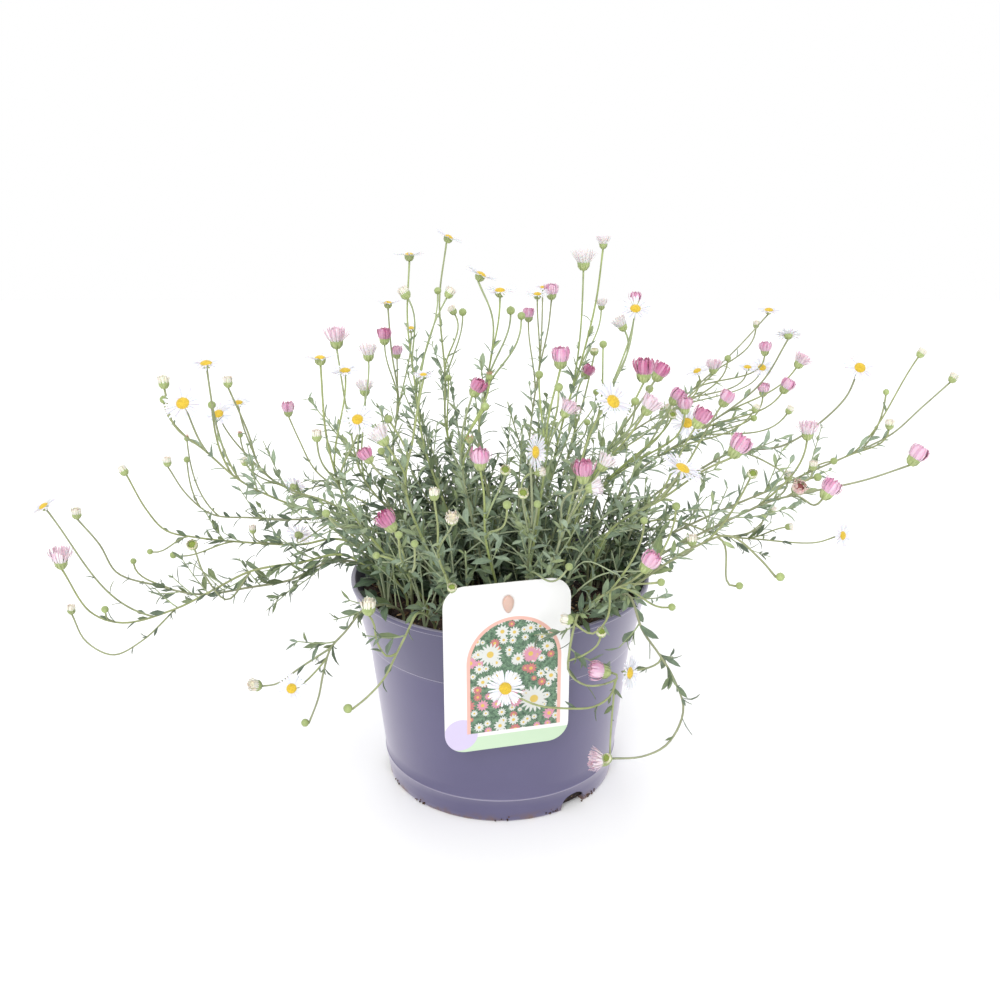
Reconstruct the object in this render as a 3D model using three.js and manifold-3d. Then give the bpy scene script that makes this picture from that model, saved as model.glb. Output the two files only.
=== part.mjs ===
// A Mexican fleabane in full flower in a round nursery pot, with its picture label.
// Millimetres, +Z up. The origin is the middle of the pot's flat underside and -Y is the front,
// where the label is. Long thin flower stems spread from the soil, each carrying narrow leaves,
// buds and daisies that open white and close pink, over a low mound of lobed leaves.
import * as THREE from 'three';
import { mergeVertices } from 'three/addons/utils/BufferGeometryUtils.js';
import Module from 'manifold-3d';

const wasm = await Module();
wasm.setup();

// Driving dimensions
const clearance = 0.3; // between neighbouring pieces

const pot = {
  rimRadius: 85, height: 122.5, baseRadius: 67, wall: 1.6, floor: 2.4, sides: 36,
  bandBottom: 89, bandRadius: 77.8, bandStep: 1.5, // the flared collar under the rim
  lipHeight: 2.8, lipStep: 0.9, ridgeHeight: 14.7, ridgeStep: 0.5,
  notchWidth: 17, notchHeight: 9.5, notchDepth: 9, notches: 3, firstNotch: -52, // degrees from +X
};
const soil = { top: 110, bump: 1.6, rings: [60, 32], holeDepth: 12, sides: 18 };
const card = {
  width: 65.5, height: 92.5, bottom: 61, thickness: 0.8, corner: 11,
  turn: 14, shift: -17.5, // degrees that it faces to the right, and its middle along its own width
};
const peg = {
  height: 143.4, headWidth: 5.8, headHeight: 9.4, headThickness: 1.6,
  shank: 2.4, holeRadius: 2.1, reach: 18, sunk: 1, // sunk: how far the arm runs into the head
};
const stemRadius = { main: 1.1, stalk: 0.85 };
const stemStep = 24; // along a stem, from one bend to the next
const leaf = {
  gap: 32, firstAbove: 14, lastPart: 0.86, // along a flower stem: from leaf to leaf, and the leafy stretch
  lobedBelow: 0.25, length: 17, taper: 9, spread: 3, // leaves get shorter and narrower up the stem
  slant: 0.7, droop: 0.06, thickness: 0.8, tries: 10,
};
const tuft = { leaves: 8, height: 34, firstPart: 0.42, leafyPart: 0.54, leaf: 27, spread: 8, splay: 1.06,
  roots: [[-2, 14], [-32, -14], [-44, 24], [-62, -32], [-40, -52], [-22, -68],
    [-8, 60], [-30, 34], [18, -14], [34, -36], [66, 4], [26, -66]] };

const finishes = {
  pot: { color: 0x7a7391, roughness: 0.45 },
  soil: { color: 0x3b2a22, roughness: 0.95 },
  card: { color: 0xf3f4ef, roughness: 0.35 },
  peg: { color: 0xdcb79a, roughness: 0.4 },
  spray: { color: 0x8fa66a, roughness: 0.6 },
  tuft: { color: 0x51704a, roughness: 0.6 },
};

// The plant is laid out as it is seen from the front. A place is [across, up, toward]: millimetres on
// the tilted picture plane through the pot's axis, and how far the point stands out to the front.
const view = { eye: new THREE.Vector3(0, -583, 371), tilt: 19.46, aimHeight: 165.5 };

function place([across, up, toward]) {
  const tilt = THREE.MathUtils.degToRad(view.tilt);
  const onPlane = new THREE.Vector3(across, up * Math.sin(tilt), view.aimHeight + up * Math.cos(tilt));
  const slide = (-toward - view.eye.y) / (onPlane.y - view.eye.y);
  return view.eye.clone().lerp(onPlane, slide);
}

// Which way a head looks
const facings = {
  up: [0, 0, 1], leftUp: [-0.5, 0, 0.86], rightUp: [0.5, 0, 0.86], left: [-0.95, -0.1, 0.2],
  right: [0.95, -0.15, 0.2], viewer: [0, -0.75, 0.66], viewerUp: [0, -0.6, 0.8],
  viewerLeft: [-0.55, -0.65, 0.5], viewerRight: [0.45, -0.65, 0.6], away: [0.1, 0.55, 0.82],
};

// Heads of size 1. Each starts at the end of its stalk with a cup of some sides, as [radius, height]
// rings that close at a tip height. Rays then leave the last ring, thick at their roots and narrow at
// their tips. middle is how far the head's centre lies beyond the end of its stalk.
const heads = {
  daisy: { sides: 8, rings: [[3.2, 2.3]], rays: { tip: 8.6, height: 3.2 }, top: 4.6, middle: 2 },
  pink: { sides: 7, rings: [[3.2, 3.4]], rays: { tip: 4.9, height: 9.8 }, top: 8.6, middle: 5 },
  magenta: { sides: 7, rings: [[3.3, 3.4]], rays: { tip: 5.3, height: 9.2 }, top: 7.8, middle: 5 },
  pale: { sides: 7, rings: [[3.2, 3.4]], rays: { tip: 5.1, height: 9.4 }, top: 7.6, middle: 5 },
  cup: { sides: 7, rings: [[3.1, 3.3]], rays: { tip: 5.1, height: 9 }, top: 6.4, middle: 5 },
  half: { sides: 5, rings: [[2.6, 2.2], [3, 6.2]], top: 5.4, middle: 4 },
  green: { sides: 5, rings: [[2.4, 2.2]], top: 4.2, middle: 3 },
  ring: { sides: 5, rings: [[2.7, 2.2], [2.2, 3.8]], top: 3, middle: 3 },
  spent: { sides: 5, rings: [[2.5, 2.4]], top: 4.8, middle: 3 },
};
const rayThickness = 0.9; // at its root

// One row for each flower stem: its root on the soil, the way its main stem takes, and its heads.
// A head is [where on the way its stalk leaves, its place, kind, facing, size, the stalk's own way].
const sprays = [
  { name: 'far_left', root: [-64, -10],
    way: [[-87, -31, 8], [-112, -35, 12], [-140, -40, 16], [-162, -51, 18],
      [-182, -61, 20], [-212, -69, 22], [-230, -63, 22]],
    heads: [
      ['end', [-247, -33, 22], 'pink', 'up', 1.1],
      [5.4, [-256, -4, 42], 'daisy', 'leftUp', 0.9],
      [5, [-241, -61, 6], 'half', 'up', 0.9, [[-201, -79, 16], [-218, -87, 12], [-233, -79, 8]]],
      [6.2, [-222, -61, 30], 'green', 'up', 0.8],
      [3, [-173, -25, 38], 'half', 'viewer', 1, [[-153, -56, 28], [-166, -42, 34]]],
    ] },
  { name: 'left_back', root: [-58, 24],
    way: [[-91, -22, -30], [-112, -25, -34], [-140, -24, -38], [-171, -21, -40],
      [-188, -17, -40], [-199, -5, -40]],
    heads: [
      ['end', [-212, 17, -40], 'half', 'leftUp', 1],
      [2.4, [-139, -16, -24], 'half', 'up', 0.8],
      [3.3, [-184, -31, -28], 'green', 'left', 0.8],
      [4.2, [-197, -29, -32], 'green', 'left', 0.7],
    ] },
  { name: 'left_low', root: [-66, 8],
    way: [[-92, -34, -6], [-118, -45, -8], [-140, -49, -8], [-169, -53, -6],
      [-193, -48, -4], [-215, -41, -2], [-225, -25, 0]],
    heads: [
      ['end', [-238, -7, 0], 'half', 'up', 1],
      [4.6, [-206, -34, -10], 'green', 'up', 0.7],
    ] },
  { name: 'left_rear', root: [-50, 38],
    way: [[-91, -11, -68], [-118, -11, -76], [-140, -10, -80], [-162, -8, -84], [-176, 3, -84]],
    heads: [
      ['end', [-187, 22, -84], 'half', 'up', 1],
      [4.4, [-176, 23, -92], 'green', 'up', 0.8],
      [3.8, [-176, 35, -98], 'spent', 'up', 0.8],
    ] },
  { name: 'left_high', root: [-52, -24],
    way: [[-94, -11, 34], [-124, 0, 46], [-146, 11, 55], [-166, 28, 60], [-183, 42, 62]],
    heads: [
      ['end', [-189, 67, 62], 'half', 'up', 1],
      [4.6, [-189, 57, 54], 'green', 'up', 0.8],
      [3.9, [-178, 54, 74], 'daisy', 'viewer', 1.1],
      [3, [-165, 76, 50], 'daisy', 'up', 1],
      [3.2, [-162, 54, 42], 'green', 'up', 0.8],
    ] },
  { name: 'left_mid', root: [-44, 8],
    way: [[-93, -3, -10], [-118, 6, -14], [-134, 17, -18], [-142, 39, -20]],
    heads: [
      ['end', [-153, 67, -20], 'half', 'up', 1],
      [2.6, [-158, 48, -4], 'daisy', 'up', 0.8],
      [3.2, [-147, 54, -34], 'daisy', 'up', 0.9],
      [2.6, [-146, 37, -40], 'spent', 'up', 0.7],
      [2, [-144, 22, -2], 'half', 'leftUp', 0.8],
    ] },
  { name: 'left_far_back', root: [-34, 54],
    way: [[-90, 6, -104], [-104, 17, -112], [-113, 34, -118]],
    heads: [
      ['end', [-119, 51, -120], 'pale', 'up', 1.1],
      [1.2, [-116, 7, -128], 'daisy', 'away', 0.9],
      [0.7, [-113, -20, -96], 'daisy', 'away', 0.9],
    ] },
  { name: 'left_front', root: [-40, -36],
    way: [[-84, -6, 60], [-93, 17, 70], [-98, 39, 76]],
    heads: [
      ['end', [-101, 79, 78], 'daisy', 'up', 0.9],
      [1.5, [-103, 37, 92], 'half', 'up', 0.9],
      [0.8, [-98, -7, 86], 'green', 'leftUp', 0.8],
      [2, [-87, 72, 60], 'daisy', 'up', 0.9],
      [1.6, [-80, 45, 98], 'daisy', 'viewer', 0.9],
    ] },
  { name: 'left_inner', root: [-30, 18],
    way: [[-76, 11, -10], [-85, 45, -16]],
    heads: [
      ['end', [-92, 91, -20], 'pale', 'up', 1.25],
      [1.2, [-74, 83, 2], 'cup', 'up', 1],
      [1, [-76, 63, -38], 'cup', 'up', 1],
    ] },
  { name: 'back_left', root: [-20, 44],
    way: [[-59, 22, -80], [-57, 56, -95], [-61, 84, -100]],
    heads: [
      ['end', [-63, 110, -104], 'daisy', 'up', 0.9],
      [2, [-65, 92, -84], 'magenta', 'up', 1.1],
      [1.6, [-58, 83, -118], 'pink', 'up', 0.9],
      [1.8, [-50, 96, -94], 'daisy', 'up', 0.7],
    ] },
  { name: 'top_left', root: [-16, 6],
    way: [[-42, 28, -10], [-48, 67, -16], [-52, 101, -20]],
    heads: [
      ['end', [-51, 137, -22], 'daisy', 'up', 0.9],
      [2.2, [-54, 117, -12], 'half', 'up', 1.1],
      [1.8, [-35, 118, -36], 'green', 'up', 0.8],
      [1.6, [-28, 117, -4], 'half', 'up', 0.8],
    ] },
  { name: 'top_back', root: [2, 38],
    way: [[-29, 34, -70], [-31, 73, -84], [-34, 112, -92]],
    heads: [
      ['end', [-29, 147, -96], 'daisy', 'rightUp', 1],
      [2, [-25, 107, -102], 'green', 'up', 1],
      [1.8, [-20, 107, -80], 'green', 'up', 0.8],
      [1, [-29, 69, -68], 'green', 'up', 0.8],
    ] },
  { name: 'top_mid', root: [6, -4],
    way: [[-12, 34, 10], [-7, 67, 14], [-4, 101, 16]],
    heads: [
      ['end', [-11, 126, 16], 'daisy', 'rightUp', 1],
      [2.2, [0, 117, 36], 'daisy', 'up', 0.9],
      [2, [6, 107, 4], 'green', 'up', 0.9],
      [1.8, [12, 104, 36], 'green', 'up', 0.8],
    ] },
  { name: 'mid_front', root: [-6, -26],
    way: [[-21, 17, 50], [-21, 39, 56]],
    heads: [
      ['end', [-13, 63, 58], 'magenta', 'rightUp', 1],
      [1.4, [-6, 70, 44], 'spent', 'up', 0.8],
      [1.4, [-8, 53, 72], 'green', 'rightUp', 0.8],
      [1, [-17, 34, 76], 'daisy', 'viewer', 0.6],
    ] },
  { name: 'front_left', root: [-24, -44],
    way: [[-53, 6, 90], [-49, 34, 98], [-46, 53, 100]],
    heads: [
      ['end', [-43, 70, 100], 'daisy', 'up', 0.7],
      [1.6, [-63, 46, 92], 'green', 'leftUp', 0.8],
      [1.2, [-67, 36, 106], 'cup', 'leftUp', 1],
      [1, [-75, 25, 120], 'magenta', 'leftUp', 0.8],
      [0.9, [-67, 28, 86], 'green', 'leftUp', 0.7],
    ] },
  { name: 'back_mid', root: [16, 56],
    way: [[17, 39, -120], [22, 73, -136], [27, 96, -142]],
    heads: [
      ['end', [29, 117, -146], 'pink', 'up', 1.1],
      [1.6, [16, 104, -154], 'pink', 'up', 1],
      [2, [21, 115, -134], 'daisy', 'up', 0.9],
      [1.9, [24, 119, -172], 'daisy', 'up', 0.7],
    ] },
  { name: 'top_right', root: [20, 14],
    way: [[34, 39, -30], [46, 79, -40], [54, 112, -46]],
    heads: [
      ['end', [58, 145, -50], 'cup', 'up', 0.8],
      [1.5, [47, 135, -26], 'cup', 'up', 1.2],
      [1.8, [57, 110, -64], 'cup', 'up', 0.7],
    ] },
  { name: 'front_mid', root: [14, -32],
    way: [[25, 17, 60], [27, 45, 68]],
    heads: [
      ['end', [34, 80, 72], 'pink', 'up', 1.1],
      [1.2, [22, 71, 58], 'green', 'up', 0.8],
      [1.3, [33, 64, 86], 'green', 'up', 0.8],
      [1, [38, 51, 88], 'pale', 'rightUp', 0.9],
    ] },
  { name: 'back_inner', root: [28, 34],
    way: [[39, 28, -70], [47, 56, -82]],
    heads: [
      ['end', [53, 84, -88], 'ring', 'up', 1.1],
      [1.3, [49, 72, -68], 'magenta', 'rightUp', 1],
      [1.2, [54, 61, -100], 'green', 'up', 0.8],
      [0.9, [49, 44, -58], 'green', 'up', 0.8],
    ] },
  { name: 'right_top', root: [36, 2],
    way: [[48, 28, 0], [62, 62, 2], [72, 84, 2]],
    heads: [
      ['end', [76, 107, 2], 'daisy', 'viewer', 1],
      [1.8, [68, 99, -10], 'cup', 'leftUp', 0.9],
      [1.5, [58, 88, 14], 'green', 'up', 0.8],
    ] },
  { name: 'right_inner', root: [32, -18],
    way: [[51, 11, 44], [67, 39, 56]],
    heads: [
      ['end', [81, 73, 64], 'magenta', 'up', 1.25],
      [1.4, [90, 72, 86], 'magenta', 'rightUp', 1],
      [1.4, [84, 63, 46], 'green', 'up', 0.8],
      [1.2, [76, 56, 76], 'green', 'up', 0.8],
      [1, [84, 53, 98], 'pale', 'rightUp', 1],
    ] },
  { name: 'front_right', root: [22, -48],
    way: [[34, -22, 96], [42, -3, 108]],
    heads: [
      ['end', [47, 16, 116], 'magenta', 'up', 1.15],
      [1.2, [59, 21, 100], 'cup', 'rightUp', 0.9],
      [1, [53, 7, 130], 'cup', 'right', 0.8],
      [1.1, [63, 55, 100], 'daisy', 'viewerRight', 1.15],
    ] },
  { name: 'right_back', root: [42, 30],
    way: [[56, 17, -56], [84, 39, -72], [107, 59, -82]],
    heads: [
      ['end', [120, 75, -88], 'pale', 'up', 1],
      [2, [111, 72, -100], 'daisy', 'leftUp', 0.9],
      [2.4, [128, 80, -72], 'green', 'up', 0.8],
    ] },
  { name: 'right_mid', root: [50, -4],
    way: [[56, 6, 20], [81, 28, 26]],
    heads: [
      ['end', [99, 58, 30], 'pink', 'rightUp', 1],
      [1.5, [104, 53, 48], 'pink', 'up', 0.9],
      [1.4, [95, 52, 14], 'half', 'up', 0.8],
      [1.2, [97, 48, 62], 'ring', 'viewer', 0.8],
      [1, [105, 43, 40], 'daisy', 'viewer', 1],
    ] },
  { name: 'right_front', root: [48, -30],
    way: [[62, -17, 66], [90, 0, 82], [115, 17, 92]],
    heads: [
      ['end', [134, 30, 96], 'pink', 'rightUp', 1.25],
      [1.2, [102, 17, 110], 'daisy', 'viewer', 1.2],
      [1.8, [113, 46, 90], 'magenta', 'rightUp', 1.1],
      [2, [127, 57, 76], 'pink', 'rightUp', 0.9],
    ] },
  { name: 'far_back', root: [36, 50],
    way: [[62, 28, -110], [101, 56, -130], [132, 84, -140]],
    heads: [
      ['end', [151, 106, -144], 'daisy', 'up', 1],
      [2.4, [144, 99, -156], 'half', 'up', 0.8],
      [1.9, [139, 74, -126], 'daisy', 'up', 0.9],
      [1.7, [147, 74, -160], 'daisy', 'leftUp', 1],
      [2.2, [149, 85, -132], 'pink', 'up', 1],
    ] },
  { name: 'right_high', root: [54, 16],
    way: [[73, 11, -30], [112, 39, -40], [146, 65, -46]],
    heads: [
      ['end', [162, 92, -48], 'daisy', 'away', 0.9],
      [2.3, [169, 78, -62], 'pale', 'rightUp', 1],
      [2, [161, 64, -30], 'pink', 'rightUp', 1],
      [1.7, [148, 62, -70], 'pink', 'up', 0.9],
      [1.5, [144, 52, -24], 'half', 'rightUp', 0.8],
      [1.8, [163, 51, -14], 'half', 'rightUp', 0.8],
      [1.4, [143, 46, -60], 'green', 'right', 0.8],
    ] },
  { name: 'right_long', root: [64, -8],
    way: [[84, 0, 10], [112, 17, 14], [131, 27, 16], [160, 31, 18], [193, 56, 22]],
    heads: [
      ['end', [202, 74, 22], 'daisy', 'viewer', 1],
      [3, [176, 20, 0], 'half', 'up', 0.9],
    ] },
  { name: 'far_right', root: [64, 20],
    way: [[90, -22, -10], [124, -6, -14], [155, 7, -16], [177, 17, -18],
      [198, 26, -20], [220, 37, -22], [237, 52, -24]],
    heads: [
      ['end', [255, 69, -26], 'half', 'rightUp', 0.9],
      [5, [237, 83, -42], 'half', 'rightUp', 0.9],
      [4.8, [219, 43, -4], 'half', 'up', 0.9],
      [5.2, [217, 61, -34], 'green', 'up', 0.7],
      [3.6, [188, 22, -4], 'green', 'right', 0.8],
    ] },
  { name: 'right_low', root: [60, -26],
    way: [[90, -31, 58], [129, -11, 74], [154, 0, 80], [171, 4, 84], [204, 11, 90]],
    heads: [
      ['end', [234, 25, 92], 'pink', 'rightUp', 1.1],
      [3.6, [185, 6, 106], 'pink', 'rightUp', 1.1],
      [3.4, [179, 13, 72], 'green', 'right', 0.8],
      [3, [168, 7, 102], 'magenta', 'viewer', 1],
      [2.4, [162, 14, 64], 'half', 'up', 0.8],
      [2.6, [173, 39, 60], 'pale', 'up', 1],
    ] },
  { name: 'right_rear', root: [54, 40],
    way: [[90, -11, -60], [124, -20, -66], [144, -22, -70], [177, -24, -74]],
    heads: [
      ['end', [192, -20, -76], 'daisy', 'right', 0.9],
      [2.8, [163, -15, -62], 'half', 'right', 0.8],
      [2.4, [153, -5, -86], 'half', 'rightUp', 0.9],
      [2.2, [148, -9, -56], 'green', 'up', 0.7],
    ] },
  { name: 'right_lower', root: [58, -44],
    way: [[84, -42, 98], [112, -25, 106], [129, -20, 110], [146, -33, 114]],
    heads: [
      ['end', [158, -43, 116], 'green', 'right', 0.8],
      [2.6, [135, -48, 106], 'green', 'right', 0.7],
      [1.4, [108, -22, 94], 'half', 'up', 0.9],
      [0.9, [99, -3, 90], 'green', 'up', 0.8],
      [2.2, [142, 15, 124], 'ring', 'viewer', 0.9],
    ] },
  { name: 'rim_right', root: [42, -54],
    way: [[62, -51, 106], [73, -46, 116]],
    heads: [
      ['end', [84, -35, 122], 'pink', 'rightUp', 1.15],
      [1.6, [91, -46, 130], 'green', 'right', 0.7],
      [1, [81, -11, 110], 'green', 'up', 0.7],
      [1.4, [97, -60, 106], 'green', 'right', 0.7],
      [1, [37, -67, 128], 'ring', 'viewerLeft', 0.9, [[60, -67, 122], [52, -75, 128], [44, -71, 130]]],
    ] },
  { name: 'hang_right', root: [54, -54],
    way: [[73, -54, 94], [80, -73, 100], [89, -86, 104], [97, -99, 106],
      [103, -118, 110], [94, -137, 114], [80, -144, 116]],
    heads: [
      ['end', [60, -145, 116], 'ring', 'viewerLeft', 1],
      [3.2, [72, -97, 116], 'daisy', 'right', 1],
    ] },
  { name: 'hang_front', root: [44, -60],
    way: [[43, -66, 96], [39, -85, 100], [39, -97, 102], [48, -104, 104],
      [60, -103, 104], [67, -99, 104]],
    heads: [
      ['end', [56, -96, 102], 'pink', 'left', 1.15],
      [5.6, [3, -106, 118], 'daisy', 'viewer', 1.05,
        [[62, -110, 106], [53, -116, 108], [37, -117, 112], [20, -115, 115]]],
      [5.5, [56, -146, 92], 'pale', 'left', 1.1, [[64, -109, 100], [63, -120, 95], [62, -135, 92]]],
      [2.4, [57, -74, 112], 'ring', 'viewerUp', 1, [[47, -87, 106], [55, -81, 110]]],
    ] },
  { name: 'hang_left', root: [-34, -62],
    way: [[-47, -64, 92], [-52, -74, 100], [-58, -86, 104], [-65, -100, 106], [-75, -111, 106]],
    heads: [
      ['end', [-86, -117, 106], 'green', 'left', 0.9],
      [3, [-74, -59, 106], 'half', 'up', 1.3, [[-63, -88, 106], [-69, -80, 108], [-71, -69, 108]]],
    ] },
  { name: 'low_left', root: [-52, -46],
    way: [[-76, -61, 82], [-87, -74, 90], [-95, -83, 92], [-99, -96, 92], [-102, -111, 92]],
    heads: [
      ['end', [-110, -125, 90], 'green', 'left', 0.8],
      [3.4, [-117, -106, 98], 'daisy', 'viewer', 0.9],
      [3, [-138, -104, 82], 'half', 'leftUp', 0.9, [[-112, -94, 88], [-125, -103, 84]]],
    ] },
  { name: 'front_leftmost', root: [-48, -34],
    way: [[-51, -42, 72], [-56, -25, 92]],
    heads: [
      ['end', [-63, -12, 102], 'magenta', 'leftUp', 1.15],
      [1.2, [-57, -19, 114], 'green', 'up', 0.7],
      [1, [-48, -24, 120], 'green', 'up', 0.7],
      [0.9, [-70, -31, 94], 'green', 'left', 0.7],
    ] },
  { name: 'front_buds', root: [-14, -60],
    way: [[-34, -34, 98], [-35, -14, 110]],
    heads: [
      ['end', [-37, 4, 116], 'half', 'up', 0.9],
      [1.2, [-27, -10, 128], 'half', 'viewer', 1.1],
      [0.8, [-27, -49, 122], 'half', 'viewer', 0.9],
    ] },
  { name: 'front_pink', root: [2, -48],
    way: [[-8, -22, 84], [-9, 3, 96]],
    heads: [
      ['end', [-11, 23, 102], 'pink', 'up', 1.1],
      [1.3, [3, 17, 104], 'ring', 'viewer', 1],
      [1, [4, -2, 118], 'green', 'up', 0.8],
    ] },
  { name: 'front_centre', root: [12, -66],
    way: [[16, -31, 74], [18, -6, 102]],
    heads: [
      ['end', [19, 27, 112], 'daisy', 'right', 0.9],
      [1.2, [13, 4, 126], 'ring', 'viewer', 1],
      [1.5, [23, 16, 102], 'half', 'right', 0.8],
      [0.9, [21, -2, 116], 'daisy', 'viewer', 0.6],
      [0.7, [39, -37, 114], 'green', 'rightUp', 0.7],
    ] },
];
// A number from 0 to 1 that is always the same for the same two whole numbers
function scatter(a, b) {
  const wave = Math.sin(a * 12.9898 + b * 78.233) * 43758.5453;
  return wave - Math.floor(wave);
}

function toSolid(geometry) {
  const bare = geometry.clone();
  bare.deleteAttribute('normal');
  bare.deleteAttribute('uv');
  const merged = mergeVertices(bare, 1e-4);
  return new wasm.Manifold(new wasm.Mesh({
    numProp: 3,
    vertProperties: new Float32Array(merged.attributes.position.array),
    triVerts: new Uint32Array(merged.index.array),
  }));
}

function toGeometry(solid) {
  const mesh = solid.getMesh();
  const geometry = new THREE.BufferGeometry();
  geometry.setAttribute('position', new THREE.BufferAttribute(mesh.vertProperties, 3));
  geometry.setIndex(new THREE.BufferAttribute(mesh.triVerts, 1));
  return geometry;
}

// A closed geometry from points and triangles given by their places in the list
function fromFaces(points, faces) {
  const geometry = new THREE.BufferGeometry();
  geometry.setAttribute('position', new THREE.Float32BufferAttribute(points.flat(), 3));
  geometry.setIndex(faces.flat());
  return geometry;
}

function turned(profile, sides) {
  const points = profile.map(([radius, height]) => new THREE.Vector2(radius, height));
  return new THREE.LatheGeometry(points, sides).rotateX(Math.PI / 2);
}

function makeNode(name, geometry, finish) {
  const material = new THREE.MeshStandardMaterial({ ...finish, metalness: 0 });
  const mesh = new THREE.Mesh(geometry, material);
  mesh.name = name;
  return mesh;
}

// Pot: a turned shell with a flared collar, a rolled lip, a fine ridge and drainage notches

const wallSlope = (pot.bandRadius - pot.bandStep - pot.baseRadius) / pot.bandBottom;
const wallRadius = (height) => pot.baseRadius + wallSlope * height;
const collarTop = pot.rimRadius - pot.lipStep;

function makePot() {
  const { height, wall, floor, bandBottom, bandRadius, ridgeHeight, ridgeStep, lipHeight } = pot;
  const profile = [
    [0, 0], [pot.baseRadius - 1, 0], [wallRadius(1.2), 1.2],
    [wallRadius(ridgeHeight - 0.6), ridgeHeight - 0.6], [wallRadius(ridgeHeight) + ridgeStep, ridgeHeight],
    [wallRadius(ridgeHeight + 0.6), ridgeHeight + 0.6], [bandRadius - pot.bandStep, bandBottom - 0.5],
    [bandRadius, bandBottom + 0.3], [collarTop, height - lipHeight],
    [pot.rimRadius, height - lipHeight + 0.4], [pot.rimRadius - 0.2, height], [collarTop - wall, height],
    [bandRadius - wall, bandBottom + 1.2], [bandRadius - pot.bandStep - wall, bandBottom - 0.2],
    [wallRadius(floor) - wall, floor], [0, floor],
  ];
  let shell = toSolid(turned(profile, pot.sides));

  const opening = new THREE.Shape();
  opening.moveTo(-pot.notchWidth / 2, -1);
  opening.lineTo(pot.notchWidth / 2, -1);
  opening.lineTo(pot.notchWidth * 0.42, pot.notchHeight * 0.7);
  opening.lineTo(pot.notchWidth * 0.2, pot.notchHeight);
  opening.lineTo(-pot.notchWidth * 0.2, pot.notchHeight);
  opening.lineTo(-pot.notchWidth * 0.42, pot.notchHeight * 0.7);
  for (let i = 0; i < pot.notches; i += 1) {
    const angle = THREE.MathUtils.degToRad(pot.firstNotch + (i * 360) / pot.notches);
    const cutter = new THREE.ExtrudeGeometry(opening, { depth: pot.notchDepth + 4, bevelEnabled: false });
    cutter.rotateX(Math.PI / 2).translate(0, pot.baseRadius + 4, 0).rotateZ(angle - Math.PI / 2);
    shell = shell.subtract(toSolid(cutter));
  }
  return makeNode('pot', toGeometry(shell), finishes.pot);
}

// Soil: a plug that fills the pot to a bumpy top, with a plain hole for each root

function makeSoil(roots) {
  const fit = (height) => wallRadius(height) - pot.wall - clearance - 0.1;
  const bandInside = pot.bandRadius - pot.wall - clearance - 0.1;
  const collarSlope = (collarTop - pot.bandRadius) / (pot.height - pot.lipHeight - pot.bandBottom);
  const profile = [
    [0, pot.floor + clearance], [fit(pot.floor) - 0.1, pot.floor + clearance],
    [fit(pot.bandBottom), pot.bandBottom], [bandInside, pot.bandBottom + 1.8],
    [bandInside + collarSlope * (soil.top - 2 - pot.bandBottom), soil.top - 1.5],
    ...soil.rings.map((radius) => [radius, soil.top]), [0, soil.top],
  ];
  const geometry = mergeVertices(turned(profile, soil.sides));
  const position = geometry.attributes.position;
  for (let i = 0; i < position.count; i += 1) {
    if (position.getZ(i) < soil.top - 0.1) continue;
    const x = position.getX(i);
    const y = position.getY(i);
    const bump = Math.sin(x * 0.16 + 1) * Math.sin(y * 0.19 + 2) + 0.4 * Math.sin(x * 0.5 + y * 0.3);
    position.setZ(i, soil.top + bump * soil.bump);
  }
  let plug = toSolid(geometry);
  for (const { x, y, radius, sides } of roots) {
    const hole = turned([[0, 0], [radius, 0], [radius, 30], [0, 30]], sides);
    hole.translate(x, y, soil.top - soil.holeDepth - clearance);
    plug = plug.subtract(toSolid(hole));
  }
  return makeNode('soil', toGeometry(plug), finishes.soil);
}

// Label: a thin card that stands against the rim, held by a hooked peg pushed into the soil

const cardTurn = THREE.MathUtils.degToRad(card.turn);
const cardOut = new THREE.Vector3(Math.sin(cardTurn), -Math.cos(cardTurn), 0); // away from the pot
const cardAlong = new THREE.Vector3(Math.cos(cardTurn), Math.sin(cardTurn), 0);
const cardFrame = new THREE.Matrix4().makeBasis(cardAlong, new THREE.Vector3(0, 0, 1), cardOut);

function makeCard() {
  const { width, height, corner, thickness } = card;
  const outline = new THREE.Shape();
  const left = card.shift - width / 2;
  const right = card.shift + width / 2;
  const top = card.bottom + height;
  outline.moveTo(left + corner, card.bottom);
  outline.absarc(right - corner, card.bottom + corner, corner, -Math.PI / 2, 0);
  outline.absarc(right - corner, top - corner, corner, 0, Math.PI / 2);
  outline.absarc(left + corner, top - corner, corner, Math.PI / 2, Math.PI);
  outline.absarc(left + corner, card.bottom + corner, corner, Math.PI, Math.PI * 1.5);
  const slot = new THREE.Path();
  slot.absarc(card.shift, peg.height, peg.holeRadius, 0, Math.PI * 2, true);
  outline.holes.push(slot);
  const solid = { depth: thickness, bevelEnabled: false, curveSegments: 4 };
  const geometry = new THREE.ExtrudeGeometry(outline, solid);
  geometry.translate(0, 0, pot.rimRadius + clearance);
  geometry.applyMatrix4(cardFrame);
  return makeNode('label_card', geometry, finishes.card);
}

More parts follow.
